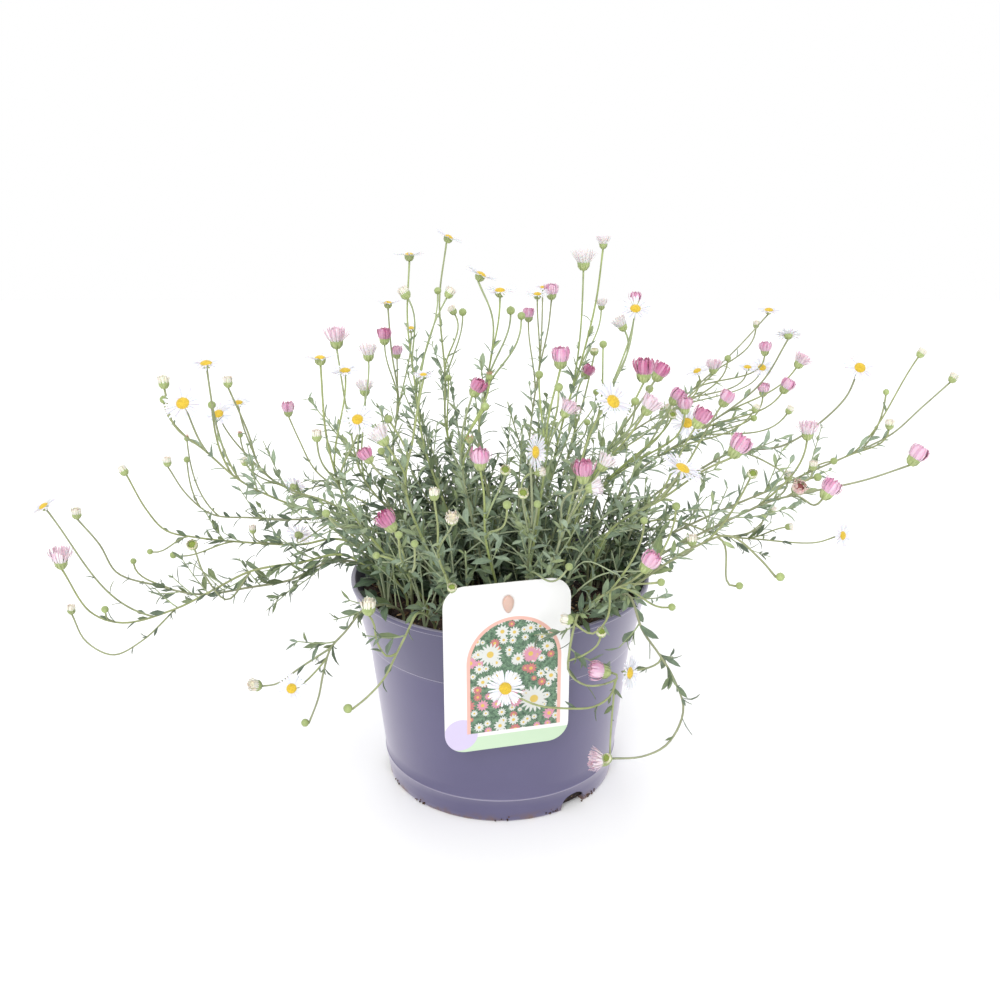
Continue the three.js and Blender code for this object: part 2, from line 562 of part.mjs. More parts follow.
function makePeg() {
  const front = pot.rimRadius + clearance + card.thickness + clearance;
  const half = peg.shank / 2;
  const arm = new THREE.Shape(); // seen from the side: out is +x, up is +y
  const legOut = front - peg.reach;
  arm.moveTo(front + peg.sunk, peg.height + half);
  arm.lineTo(legOut - half, peg.height + half);
  arm.lineTo(legOut - half, soil.top - soil.holeDepth);
  arm.lineTo(legOut + half, soil.top - soil.holeDepth);
  arm.lineTo(legOut + half, peg.height - half);
  arm.lineTo(front + peg.sunk, peg.height - half);
  const shank = new THREE.ExtrudeGeometry(arm, { depth: peg.shank, bevelEnabled: false });
  shank.translate(0, 0, -half).rotateY(-Math.PI / 2).translate(card.shift, 0, 0);

  const drop = new THREE.Shape();
  const wide = peg.headWidth / 2;
  const low = peg.height - peg.headHeight * 0.62;
  drop.moveTo(card.shift - wide * 0.55, low);
  drop.lineTo(card.shift + wide * 0.55, low);
  drop.lineTo(card.shift + wide, peg.height + 1);
  drop.absarc(card.shift, peg.height + 1, wide, 0, Math.PI);
  const headSolid = { depth: peg.headThickness, bevelEnabled: false, curveSegments: 4 };
  const head = new THREE.ExtrudeGeometry(drop, headSolid).translate(0, 0, front);
  const solid = toSolid(shank).add(toSolid(head));
  const geometry = toGeometry(solid).applyMatrix4(cardFrame);
  return makeNode('label_peg', geometry, finishes.peg);
}

function pegRoot() {
  const out = pot.rimRadius + clearance * 2 + card.thickness - peg.reach;
  const spot = cardOut.clone().multiplyScalar(out).addScaledVector(cardAlong, card.shift);
  const radius = (peg.shank * Math.SQRT1_2 + clearance) / Math.cos(Math.PI / 6);
  return { x: spot.x, y: spot.y, radius, sides: 6 };
}

// Skins that run from ring to ring

// A ring of points round a place, in the plane of two directions
function ringPoints(centre, across, over, radius, sides) {
  return Array.from({ length: sides }, (_, i) => {
    const angle = (i / sides) * Math.PI * 2;
    return centre.clone().addScaledVector(across, Math.cos(angle) * radius)
      .addScaledVector(over, Math.sin(angle) * radius);
  });
}

// Adds points to a skin and gives their places in its list
function addPoints(skin, points) {
  const first = skin.points.length;
  skin.points.push(...points.map((point) => point.toArray()));
  return points.map((_, i) => first + i);
}

// Triangles between two rings that may have different numbers of points, taken in order of angle
function stitch(skin, low, high) {
  let i = 0;
  let j = 0;
  while (i < low.length || j < high.length) {
    const a = low[i % low.length];
    const b = high[j % high.length];
    if (j >= high.length || (i < low.length && (i + 1) / low.length <= (j + 1) / high.length)) {
      skin.faces.push([a, low[(i + 1) % low.length], b]);
      i += 1;
    } else {
      skin.faces.push([a, high[(j + 1) % high.length], b]);
      j += 1;
    }
  }
}

function closeRing(skin, ring, tip, below) {
  ring.forEach((point, i) => {
    const next = ring[(i + 1) % ring.length];
    skin.faces.push(below ? [tip, next, point] : [point, next, tip]);
  });
}

// Rays leave the last ring of a cup. Its upper ring lies above it by the rays' thickness.
function addRays(skin, low, upper, tips) {
  const count = low.length;
  for (let i = 0; i < count; i += 1) {
    const next = (i + 1) % count;
    skin.faces.push([upper[i], tips[i], upper[next]], [low[i], low[next], tips[i]]);
    skin.faces.push([upper[i], low[i], tips[i]], [upper[next], tips[i], low[next]]);
  }
}

// A head on the last ring of its stalk, looking along facing
function addHead(skin, stalkRing, base, across, facing, kind, size) {
  const { sides, rings, rays, top } = heads[kind];
  const over = new THREE.Vector3().crossVectors(facing, across);
  const centreAt = (height) => base.clone().addScaledVector(facing, height * size);
  let ring = stalkRing;
  for (const [radius, height] of rings) {
    const wider = addPoints(skin, ringPoints(centreAt(height), across, over, radius * size, sides));
    stitch(skin, ring, wider);
    ring = wider;
  }
  if (rays) {
    const [radius, height] = rings.at(-1);
    const upperRing = ringPoints(centreAt(height + rayThickness), across, over, radius * size, sides);
    const upper = addPoints(skin, upperRing);
    const turnedAcross = across.clone().applyAxisAngle(facing, Math.PI / sides);
    const turnedOver = over.clone().applyAxisAngle(facing, Math.PI / sides);
    const tipRing = ringPoints(centreAt(rays.height), turnedAcross, turnedOver, rays.tip * size, sides);
    addRays(skin, ring, upper, addPoints(skin, tipRing));
    ring = upper;
  }
  closeRing(skin, ring, addPoints(skin, [centreAt(top)])[0], false);
}

// A stem's axis: points spaced evenly along its curve, joined by straight pieces. The first piece
// of a main stem stands upright in its hole, so it ends at a point of its own just over the soil.
const uprightPiece = soil.holeDepth + 3;

function axisOf(curve, leastSteps, upright = 0) {
  const length = curve.getLength();
  const steps = Math.max(leastSteps, Math.round((length - upright) / stemStep));
  const first = upright / length;
  const points = Array.from({ length: steps + 1 }, (_, i) => (
    curve.getPointAt(i === steps ? 1 : first + ((1 - first) * i) / steps)));
  if (upright) points.unshift(curve.getPointAt(0));
  return { points, frames: framesOf(points) };
}

// Directions across each point of an axis, carried along it without twist
function framesOf(points) {
  const last = points.length - 1;
  const tangents = points.map((_, i) => points[Math.min(i + 1, last)].clone()
    .sub(points[Math.max(i - 1, 0)]).normalize());
  const normals = [new THREE.Vector3(0.3, 1, 0.1).cross(tangents[0]).normalize()];
  for (let i = 1; i <= last; i += 1) {
    const turn = new THREE.Quaternion().setFromUnitVectors(tangents[i - 1], tangents[i]);
    normals.push(normals[i - 1].clone().applyQuaternion(turn));
  }
  return { tangents, normals, binormals: normals.map((normal, i) => tangents[i].clone().cross(normal)) };
}

const axisLength = ({ points }) => points.slice(1)
  .reduce((sum, point, i) => sum + point.distanceTo(points[i]), 0);

// The point a part of the way along an axis, and the way the axis runs there
function alongAxis({ points }, part) {
  const steps = points.length - 1;
  const i = Math.min(Math.floor(part * steps), steps - 1);
  const point = points[i].clone().lerp(points[i + 1], part * steps - i);
  return { point, run: points[i + 1].clone().sub(points[i]).normalize() };
}

// The point of an axis that lies nearest to a given one
function nearestOnAxis(axis, wanted) {
  const parts = Array.from({ length: 400 }, (_, i) => i / 400);
  const away = parts.map((part) => alongAxis(axis, part).point.distanceTo(wanted));
  return alongAxis(axis, parts[away.indexOf(Math.min(...away))]);
}

// A three-sided stem along an axis, with a head at its end where one is given.
// A stalk starts as a point inside the stem that carries it, a main stem as a flat foot.
function stemGeometry({ points, frames }, radius, fromPoint, head) {
  const steps = points.length - 1;
  const skin = { points: [], faces: [] };
  let ring = null;
  for (let i = 0; i <= steps; i += 1) {
    const rim = ringPoints(points[i], frames.normals[i], frames.binormals[i], radius, 3);
    const next = addPoints(skin, i === 0 && fromPoint ? [points[i]] : rim);
    if (i === 0 && !fromPoint) skin.faces.push([next[0], next[2], next[1]]);
    else if (i > 0 && ring.length === 1) closeRing(skin, next, ring[0], true);
    else if (i > 0) stitch(skin, ring, next);
    ring = next;
  }
  if (head) {
    const { base, facing, kind, size } = head;
    const normal = frames.normals[steps];
    const across = normal.clone().addScaledVector(facing, -normal.dot(facing)).normalize();
    addHead(skin, ring, base, across, facing, kind, size);
  } else {
    const tip = points[steps].clone().addScaledVector(frames.tangents[steps], radius * 2);
    closeRing(skin, ring, addPoints(skin, [tip])[0], false);
  }
  return fromFaces(skin.points, skin.faces);
}

// Flower stems

// The way of a spray's main stem and stalks, with the heads at their ends
function laySpray({ root, way, heads: rows }) {
  const placed = rows.map(([from, at, kind, face, size, stalkWay]) => {
    const facing = new THREE.Vector3(...facings[face]).normalize();
    const base = place(at).addScaledVector(facing, -heads[kind].middle * size);
    return { from, kind, size, facing, base, stalkWay };
  });
  const levels = [soil.top - soil.holeDepth, soil.top - 1, soil.top + 7];
  const inSoil = levels.map((level) => new THREE.Vector3(root[0], root[1], level));
  const mainPoints = [...inSoil, ...way.map(place), placed[0].base];
  const mainCurve = new THREE.CatmullRomCurve3(mainPoints);
  const main = axisOf(mainCurve, way.length + 2, uprightPiece);
  const stalks = placed.slice(1).map(({ from, facing, base, stalkWay }) => {
    const leaving = mainCurve.getPoint((from + inSoil.length - 1) / (mainPoints.length - 1));
    const { point: start, run } = nearestOnAxis(main, leaving);
    if (stalkWay) return axisOf(new THREE.CatmullRomCurve3([start, ...stalkWay.map(place), base]), 6);
    const reach = start.distanceTo(base) * 0.35;
    const toHead = base.clone().sub(start).normalize();
    const leave = start.clone().addScaledVector(run.add(toHead).normalize(), reach);
    const arrive = base.clone().addScaledVector(facing, -reach);
    return axisOf(new THREE.CubicBezierCurve3(start, leave, arrive, base), 2);
  });
  return { main, stalks, placed };
}

// Leaves

// A blade drawn as [length, half width] down its right side, and lobed where it widens.
// Both faces are fans from a middle point to the same outline, so their edges meet.
const blades = {
  lance: { side: [[0.45, 0.14]], wide: 0.14 },
  lobed: { side: [[0.36, 0.07], [0.6, 0.3], [0.72, 0.13]], wide: 0.26 },
};
const room = { blade: 1.7, stem: 1.3, head: 3.4 }; // kept round each point that is tested

function leafGeometry({ side }, length) {
  const half = side.map(([along, out]) => [along * length, out * length]);
  const otherHalf = half.map(([along, out]) => [along, -out]).reverse();
  const outline = [[0, 0], ...half, [length, 0], ...otherHalf];
  const lift = (along) => -leaf.droop * length * (along / length) ** 2;
  const points = outline.map(([along, out]) => [along, out, lift(along) - Math.abs(out) * 0.1]);
  const middle = length * 0.5;
  const count = points.length;
  const thick = leaf.thickness / 2;
  points.push([middle, 0, lift(middle) + thick], [middle, 0, lift(middle) - thick]);
  const faces = [];
  for (let i = 0; i < count; i += 1) {
    const next = (i + 1) % count;
    faces.push([count, next, i], [count + 1, i, next]);
  }
  return fromFaces(points, faces);
}

// The room that is taken, as balls kept by the cells of a coarse grid, so that leaves keep clear
const cell = 8;
const taken = new Map();
const cellOf = ({ x, y, z }) => [x, y, z].map((value) => Math.floor(value / cell));

function take(at, radius, owner) {
  const key = cellOf(at).join();
  if (!taken.has(key)) taken.set(key, []);
  taken.get(key).push({ at, radius, owner });
}

function isFree(at, radius, owner) {
  const [i, j, k] = cellOf(at);
  const steps = [-1, 0, 1];
  return steps.every((di) => steps.every((dj) => steps.every((dk) => {
    const near = taken.get([i + di, j + dj, k + dk].join()) ?? [];
    return near.every((ball) => ball.owner === owner
      || ball.at.distanceTo(at) > ball.radius + radius + clearance);
  })));
}

function takeStems({ main, stalks, placed }, owner) {
  for (const axis of [main, ...stalks]) {
    const count = Math.ceil(axisLength(axis) / 2);
    for (let i = 0; i <= count; i += 1) take(alongAxis(axis, i / count).point, room.stem, owner);
  }
  for (const { kind, size, facing, base } of placed) {
    const { rings, rays, top } = heads[kind];
    const reach = rays ? rays.tip : rings[0][0];
    const centre = base.clone().addScaledVector(facing, top * 0.55 * size);
    for (let i = 0; i < 6; i += 1) {
      const angle = (i / 6) * Math.PI * 2;
      const across = new THREE.Vector3(1, 0, 0.01).cross(facing).normalize().applyAxisAngle(facing, angle);
      take(centre.clone().addScaledVector(across, reach * size * 0.6), room.head * size, owner);
    }
  }
}

// Points spread over a leaf's blade
function bladeSpots(blade, length, start, direction, across) {
  const spots = [];
  for (let part = 0.25; part <= 1; part += 0.125) {
    const half = blade.wide * length * Math.sin(Math.PI * Math.min(1, part * 0.85));
    const count = Math.ceil((half * 2) / 3);
    for (let i = 0; i <= count; i += 1) {
      const out = half * ((2 * i) / count - 1);
      spots.push(start.clone().addScaledVector(direction, part * length).addScaledVector(across, out));
    }
  }
  return spots;
}

// Leaves stay out of the pot's rim and the soil, and off the label and its peg, by these distances
const away = { rim: 3, inRim: 8, soil: 3, card: 3, cardFront: 6, peg: 4 };

function isOutside(at) {
  const fromAxis = Math.hypot(at.x, at.y);
  const along = Math.abs(at.dot(cardAlong) - card.shift);
  const out = at.dot(cardOut) - pot.rimRadius;
  const overRim = fromAxis > pot.rimRadius + away.rim || at.z > pot.height + away.rim;
  const overSoil = fromAxis < pot.rimRadius - away.inRim && at.z > soil.top + away.soil;
  const offCard = along > card.width / 2 + away.card || out > away.cardFront || out < -away.card
    || at.z > card.bottom + card.height + away.card;
  const offPeg = along > peg.shank + away.peg || out < -peg.reach - away.peg
    || at.z > peg.height + peg.headHeight;
  return (overRim || overSoil) && offCard && offPeg;
}

// A leaf on a stem: it leaves at a slant, and is turned round the stem until it is clear of the rest
function growLeaf(axis, part, owner, number, blade, length) {
  const { point: start, run: along } = alongAxis(axis, part);
  const side = new THREE.Vector3(0.01, 0, 1).cross(along).normalize();
  for (let attempt = 0; attempt < leaf.tries; attempt += 1) {
    const spin = (scatter(number, owner) + attempt / leaf.tries) * Math.PI * 2;
    const out = side.clone().applyAxisAngle(along, spin);
    const direction = along.clone().multiplyScalar(leaf.slant).add(out).normalize();
    const across = new THREE.Vector3().crossVectors(along, direction).normalize();
    const face = new THREE.Vector3().crossVectors(direction, across);
    if (face.z < 0) {
      face.negate();
      across.negate();
    }
    const spots = bladeSpots(blade, length, start, direction, across);
    if (spots.every((at) => isOutside(at) && isFree(at, room.blade, owner))) {
      spots.forEach((at) => take(at, room.blade, owner));
      const basis = new THREE.Matrix4().makeBasis(direction, across, face);
      const geometry = leafGeometry(blade, length).applyMatrix4(basis);
      return toSolid(geometry.translate(start.x, start.y, start.z));
    }
  }
  return null;
}

function makeSpray({ name }, index, { main, stalks, placed }) {
  let body = toSolid(stemGeometry(main, stemRadius.main, false, placed[0]));
  stalks.forEach((curve, i) => {
    body = body.add(toSolid(stemGeometry(curve, stemRadius.stalk, true, placed[i + 1])));
  });
  const length = axisLength(main);
  const first = (soil.holeDepth + leaf.firstAbove) / length;
  const count = Math.floor((length * (leaf.lastPart - first)) / leaf.gap);
  for (let i = 0; i < count; i += 1) {
    const part = first + (i * leaf.gap) / length;
    const blade = part < leaf.lobedBelow ? blades.lobed : blades.lance;
    const size = leaf.length - leaf.taper * part + leaf.spread * scatter(i, index + 9);
    const grown = growLeaf(main, part, index, i, blade, size);
    if (grown) body = body.add(grown);
  }
  return makeNode(`spray_${name}`, toGeometry(body), finishes.spray);
}

// Leaf tufts: short leafy shoots between the flower stems, which make the mound

function layTuft([x, y]) {
  const levels = [-soil.holeDepth, -1, 6, tuft.height];
  const points = levels.map((level, i) => {
    const splay = i > 2 ? tuft.splay : 1;
    return new THREE.Vector3(x * splay, y * splay, soil.top + level);
  });
  const main = axisOf(new THREE.CatmullRomCurve3(points), 2, uprightPiece);
  return { main, stalks: [], placed: [] };
}

function makeTuft({ main }, index) {
  const owner = sprays.length + index;
  let body = toSolid(stemGeometry(main, stemRadius.main, false, null));
  for (let i = 0; i < tuft.leaves; i += 1) {
    const part = tuft.firstPart + (tuft.leafyPart * i) / tuft.leaves;
    const size = tuft.leaf - tuft.spread * scatter(i, index);
    const grown = growLeaf(main, part, owner, i, blades.lobed, size);
    if (grown) body = body.add(grown);
  }
  return makeNode(`leaf_tuft_${index + 1}`, toGeometry(body), finishes.tuft);
}

const laidSprays = sprays.map(laySpray);
const laidTufts = tuft.roots.map(layTuft);
[...laidSprays, ...laidTufts].forEach(takeStems);
const stemHole = { radius: stemRadius.main * 2 + clearance * 3, sides: 3 };
const roots = [...sprays.map(({ root }) => root), ...tuft.roots].map(([x, y]) => ({ x, y, ...stemHole }));

const plant = new THREE.Group();
plant.add(makePot(), makeSoil([...roots, pegRoot()]), makeCard(), makePeg());
plant.add(...laidTufts.map(makeTuft));
plant.add(...sprays.map((spray, index) => makeSpray(spray, index, laidSprays[index])));

export default plant;
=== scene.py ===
import bpy
import numpy as np
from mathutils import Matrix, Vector


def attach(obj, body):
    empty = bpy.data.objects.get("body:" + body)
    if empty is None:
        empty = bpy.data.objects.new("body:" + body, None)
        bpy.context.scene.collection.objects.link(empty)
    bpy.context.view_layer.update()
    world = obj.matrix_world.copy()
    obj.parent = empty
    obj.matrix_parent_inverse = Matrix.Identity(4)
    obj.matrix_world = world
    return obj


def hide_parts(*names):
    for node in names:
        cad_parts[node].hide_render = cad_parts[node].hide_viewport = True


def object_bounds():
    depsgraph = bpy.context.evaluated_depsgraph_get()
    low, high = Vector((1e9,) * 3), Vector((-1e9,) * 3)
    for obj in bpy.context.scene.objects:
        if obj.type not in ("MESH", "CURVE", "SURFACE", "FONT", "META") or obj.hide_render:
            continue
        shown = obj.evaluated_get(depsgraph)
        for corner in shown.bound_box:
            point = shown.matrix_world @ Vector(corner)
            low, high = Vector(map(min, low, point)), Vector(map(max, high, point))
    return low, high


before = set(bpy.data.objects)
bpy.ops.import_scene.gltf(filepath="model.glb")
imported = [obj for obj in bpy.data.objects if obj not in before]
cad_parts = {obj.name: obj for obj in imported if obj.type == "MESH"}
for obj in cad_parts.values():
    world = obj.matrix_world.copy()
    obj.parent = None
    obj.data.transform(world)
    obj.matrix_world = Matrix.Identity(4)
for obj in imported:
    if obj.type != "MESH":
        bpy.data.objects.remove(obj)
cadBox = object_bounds()
scene = bpy.context.scene
print("frame:", len(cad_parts), "nodes")

# Lengths are in millimetres up to makePiece, which turns them into metres.
metre = 0.001
goldenAngle = np.pi * (3 - np.sqrt(5))

potSizes = {
    "rimRadius": 85, "height": 122.5, "baseRadius": 67, "wall": 1.6, "floor": 2.4, "sides": 144,
    "bandBottom": 89, "bandRadius": 77.8, "bandStep": 1.5,  # the flared collar under the rim
    "lipHeight": 2.8, "lipStep": 0.9, "ridgeHeight": 14.75,  # a fine ridge near the base
    "ridge": [(-0.75, 0), (-0.4, 0.2), (-0.15, 0.5), (0.15, 0.5), (0.45, 0.2), (0.75, 0)],  # up, then out
    "notchWidth": 17, "notchHeight": 9.5, "notches": 3, "firstNotch": -52,  # degrees from +X
}
soilSizes = {
    "top": 110, "holeDepth": 12, "rings": 64, "sides": 210, "swell": 1.3, "crumb": 0.75,
    "clods": 520, "chips": 340, "specks": 130, "fibres": 150, "lumpReach": 76.5, "fibreReach": 74,
    "edge": 77, "dip": 1.2,  # the edge is where fibres end, and dip is how far it sinks at the wall
}
cardSizes = {
    "width": 65.5, "height": 92.5, "bottom": 61, "thickness": 0.8, "corner": 11, "gap": 0.3,
    "turn": 14, "shift": -17.5,  # degrees that it faces to the right, and its middle along its width
}
pegSizes = {
    "height": 143.4, "headWidth": 5.8, "headHeight": 9.4, "headThickness": 1.9,
    "shank": 1.15, "hole": 2.1, "reach": 18,
}


def srgb(red, green, blue):
    value = np.array([red, green, blue]) / 255
    return np.where(value <= 0.04045, value / 12.92, ((value + 0.055) / 1.055) ** 2.4)


def unit(vectors):
    return vectors / np.maximum(np.linalg.norm(vectors, axis=-1, keepdims=True), 1e-9)


def mix(first, second, part):
    return first + (second - first) * part


# 0 up to start, 1 from span beyond it on, and a straight rise between
def riseFrom(value, start, span):
    return np.clip((value - start) / span, 0, 1)


def roundAngles(count):
    return np.arange(count) * 2 * np.pi / count


# Directions at an angle in the plane of two others, counted from the first to the second
def turned(angle, first, second):
    return np.cos(angle)[..., None] * first + np.sin(angle)[..., None] * second


def newObject(name, data):
    thing = bpy.data.objects.new(name, data)
    scene.collection.objects.link(thing)
    return thing


# Skins: lists of points and faces that makePiece joins into one mesh

def newSkin():
    return {"points": [], "faces": [], "slots": [], "tints": [], "ways": [], "count": 0}


# Adds points (n, 3), faces as whole arrays of point numbers, and for each point a tint and a place
# on the surface (across, along), both from 0 to 1.
def addSkin(skin, points, faces, slot, tint, way):
    points = np.asarray(points, float).reshape(-1, 3)
    skin["points"].append(points)
    skin["tints"].append(np.broadcast_to(np.asarray(tint, float), (len(points), 3)))
    skin["ways"].append(np.broadcast_to(np.asarray(way, float), (len(points), 2)))
    for group in faces:
        skin["faces"].append(np.asarray(group, int) + skin["count"])
        skin["slots"].append(np.full(len(group), slot))
    skin["count"] += len(points)


def makePiece(name, skin, materials, nodes=(), sharpAngle=62):
    points = np.clip(np.concatenate(skin["points"]) * metre, np.array(cadBox[0]), np.array(cadBox[1]))
    loops = np.concatenate([group.ravel() for group in skin["faces"]])
    sizes = np.concatenate([np.full(len(group), group.shape[1]) for group in skin["faces"]])
    mesh = bpy.data.meshes.new(name)
    mesh.vertices.add(len(points))
    mesh.vertices.foreach_set("co", points.astype(np.float32).ravel())
    mesh.loops.add(len(loops))
    mesh.loops.foreach_set("vertex_index", loops.astype(np.int32))
    mesh.polygons.add(len(sizes))
    mesh.polygons.foreach_set("loop_start", np.concatenate([[0], np.cumsum(sizes)[:-1]]).astype(np.int32))
    mesh.polygons.foreach_set("material_index", np.concatenate(skin["slots"]).astype(np.int32))
    mesh.update(calc_edges=True)
    tints = np.concatenate(skin["tints"])
    tints = np.concatenate([tints, np.ones((len(tints), 1))], axis=1).astype(np.float32)
    mesh.attributes.new("tint", "FLOAT_COLOR", "POINT").data.foreach_set("color", tints.ravel())
    ways = np.concatenate(skin["ways"])[loops].astype(np.float32)
    mesh.uv_layers.new(name="way").data.foreach_set("uv", ways.ravel())
    mesh.shade_smooth()
    mesh.set_sharp_from_angle(angle=np.radians(sharpAngle))
    for material in materials:
        mesh.materials.append(material)
    piece = newObject(name, mesh)
    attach(piece, "root")
    if nodes:
        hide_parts(*nodes)
    return piece


# Faces of a tube of rings: quads from ring to ring, and a fan to a point at each end. The points
# are the rings' in order, then the first end's point, then the last end's.
def ringFaces(rings, sides):
    ring = np.arange(rings - 1)[:, None] * sides
    here = np.arange(sides)
    after = (here + 1) % sides
    quads = np.stack([ring + here, ring + after, ring + sides + after, ring + sides + here], axis=-1)
    last, end = (rings - 1) * sides, np.full(sides, rings * sides)
    return [quads.reshape(-1, 4), np.stack([after, here, end], axis=-1),
            np.stack([last + here, last + after, end + 1], axis=-1)]


# The same faces for each of count copies, whose points follow each other, size points a copy
def copyFaces(faces, count, size):
    return (faces[None] + (np.arange(count) * size)[:, None, None]).reshape(-1, faces.shape[1])


# Rings of points (rings, sides, 3) with a point beyond each end, a place along for each ring, and
# a tint for each ring and for the two ends
def addRings(skin, rings, ends, along, slot, tint, endTint):
    count, sides = rings.shape[:2]
    way = np.stack(np.broadcast_arrays(np.arange(sides) / sides, along[:, None]), axis=-1)
    way = np.concatenate([way.reshape(-1, 2), [[0, 0], [0, 1]]])
    tint = np.concatenate([np.repeat(tint, sides, axis=0), endTint])
    addSkin(skin, np.concatenate([rings.reshape(-1, 3), ends]), ringFaces(count, sides), slot, tint, way)


# A path's direction at each point, and two directions across it. The first is the direction in
# which the whole path bends least, laid square to the path at each point, so it never turns over.
def pathFrame(path):
    ahead = unit(np.gradient(path, axis=0))
    spread = path - path.mean(axis=0)
    least = np.linalg.svd(spread + 1e-6 * np.eye(3)[np.arange(len(path)) % 3])[2][2]
    side = unit(least - (ahead @ least)[:, None] * ahead)
    return ahead, side, np.cross(ahead, side)


# A round stem: a ring at each point of the path, of that point's radius, in the plane across it,
# closed by a point beyond each end.
def addTube(skin, path, radii, slot, tint, sides=6):
    radii = np.broadcast_to(np.asarray(radii, float), len(path))
    ahead, side, over = pathFrame(path)
    rings = path[:, None] + radii[:, None, None] * turned(roundAngles(sides), side[:, None], over[:, None])
    ends = np.array([path[0] - ahead[0] * radii[0] * 0.5, path[-1] + ahead[-1] * radii[-1] * 0.5])
    tint = np.broadcast_to(np.asarray(tint, float), (len(path), 3))
    addRings(skin, rings, ends, np.linspace(0, 1, len(path)), slot, tint, tint[[0, -1]])


# A turned form round an axis: at each height of the profile a ring of the profile's radius, which
# swells and sinks round the axis by a cosine where it has ribs.
def addTurned(skin, origin, axes, radii, heights, slot, tint, sides=16, ribs=0, ribDepth=0.0):
    across, over, axis = axes
    radii, heights = np.asarray(radii, float), np.asarray(heights, float)
    angle = roundAngles(sides)
    swell = 1 + ribDepth * np.cos(angle * ribs)
    ring = (np.cos(angle) * swell)[:, None] * across + (np.sin(angle) * swell)[:, None] * over
    rings = origin + heights[1:-1, None, None] * axis + radii[1:-1, None, None] * ring[None]
    ends = np.array([origin + heights[0] * axis, origin + heights[-1] * axis])
    along = (heights - heights[0]) / max(heights[-1] - heights[0], 1e-6)
    tint = np.broadcast_to(np.asarray(tint, float), (len(radii), 3))
    addRings(skin, rings, ends, along[1:-1], slot, tint[1:-1], tint[[0, -1]])


# Sections of a blade, as places across it (-1 to 1) and through its thickness (-1 to 1)
blade4 = {"across": np.array([-1, 0, 1, 0]), "through": np.array([0, -1, 0, 1])}
blade6 = {
    "across": np.array([-1, -0.45, 0.45, 1, 0.45, -0.45]), "through": np.array([0, -1, -1, 0, 1, 1]),
}


# Many thin blades at once. Each one's middle line is an arc that starts ahead and bends towards its
# upper side by its own angle. Round that line lies a flat closed section, as wide as the form's
# outline there, folded up from the middle line by fold, with its edges swept forward by sweep.
def addBlades(skin, start, ahead, upper, length, width, bend, form, slot, tintBase, tintTip):
    count = len(start)
    along = form["along"]
    q, e = form["section"]["across"], form["section"]["through"]
    stations, sides = len(along), len(q)
    ahead = unit(ahead)
    upper = unit(upper - np.sum(upper * ahead, axis=-1, keepdims=True) * ahead)
    acrossWay = np.cross(upper, ahead)
    length, width, bend = (np.broadcast_to(value, count)[:, None] for value in (length, width, bend))
    safe = np.where(np.abs(bend) < 1e-3, 1e-3, bend)
    angle = safe * along[None, :]
    run = np.sin(angle) / safe * length
    rise = (1 - np.cos(angle)) / safe * length
    middle = start[:, None] + run[..., None] * ahead[:, None] + rise[..., None] * upper[:, None]
    lineAhead = turned(angle, ahead[:, None], upper[:, None])
    lineUpper = turned(angle, upper[:, None], -ahead[:, None])
    half = (width * form["outline"][None, :])[..., None]
    sweep = (form.get("sweep", np.zeros(stations))[None, :] * length)[..., None]
    lift = form["thick"] * 0.5 * e + form["fold"] * half * np.abs(q)
    points = (
        middle[:, :, None]
        + (half * q)[..., None] * acrossWay[:, None, None]
        + lift[..., None] * lineUpper[:, :, None]
        + (sweep * np.abs(q))[..., None] * lineAhead[:, :, None]
    )
    ends = np.stack([
        middle[:, 0] - lineAhead[:, 0] * 0.15 * form["thick"],
        middle[:, -1] + lineAhead[:, -1] * length * form["point"],
    ], axis=1)
    points = np.concatenate([points.reshape(count, -1, 3), ends], axis=1)
    faces = [copyFaces(group, count, points.shape[1]) for group in ringFaces(stations, sides)]
    way = np.stack(np.broadcast_arrays((q * 0.5 + 0.5)[None, :], along[:, None]), axis=-1)
    way = np.concatenate([way.reshape(-1, 2), [[0.5, 0], [0.5, 1]]])
    part = np.concatenate([np.repeat(along, sides), [0, 1]])[None, :, None]
    tintBase = np.broadcast_to(np.asarray(tintBase, float), (count, 3))[:, None]
    tintTip = np.broadcast_to(np.asarray(tintTip, float), (count, 3))[:, None]
    tint = mix(tintBase, tintTip, part).reshape(-1, 3)
    addSkin(skin, points, faces, slot, tint, np.tile(way, (count, 1)))


# Small domed studs, each a ring of four points with one above its middle and one below
def addStuds(skin, centres, normals, radius, height, slot, tint):
    count = len(centres)
    normals = unit(normals)
    side = unit(np.cross(normals, np.array([0.31, 0.2, 0.93])))
    over = np.cross(normals, side)
    radius = np.broadcast_to(radius, count)[:, None]
    height = np.broadcast_to(height, count)[:, None]
    points = np.stack([
        centres + side * radius, centres + over * radius, centres - side * radius,
        centres - over * radius, centres - normals * height * 0.4, centres + normals * height,
    ], axis=1)
    faces = np.array([[1, 0, 4], [2, 1, 4], [3, 2, 4], [0, 3, 4], [0, 1, 5], [1, 2, 5], [2, 3, 5], [3, 0, 5]])
    tint = np.repeat(np.broadcast_to(np.asarray(tint, float), (count, 3)), 6, axis=0)
    addSkin(skin, points, [copyFaces(faces, count, 6)], slot, tint, (0.5, 0.5))


waySteps = 24  # steps of a smooth way between two of its given points


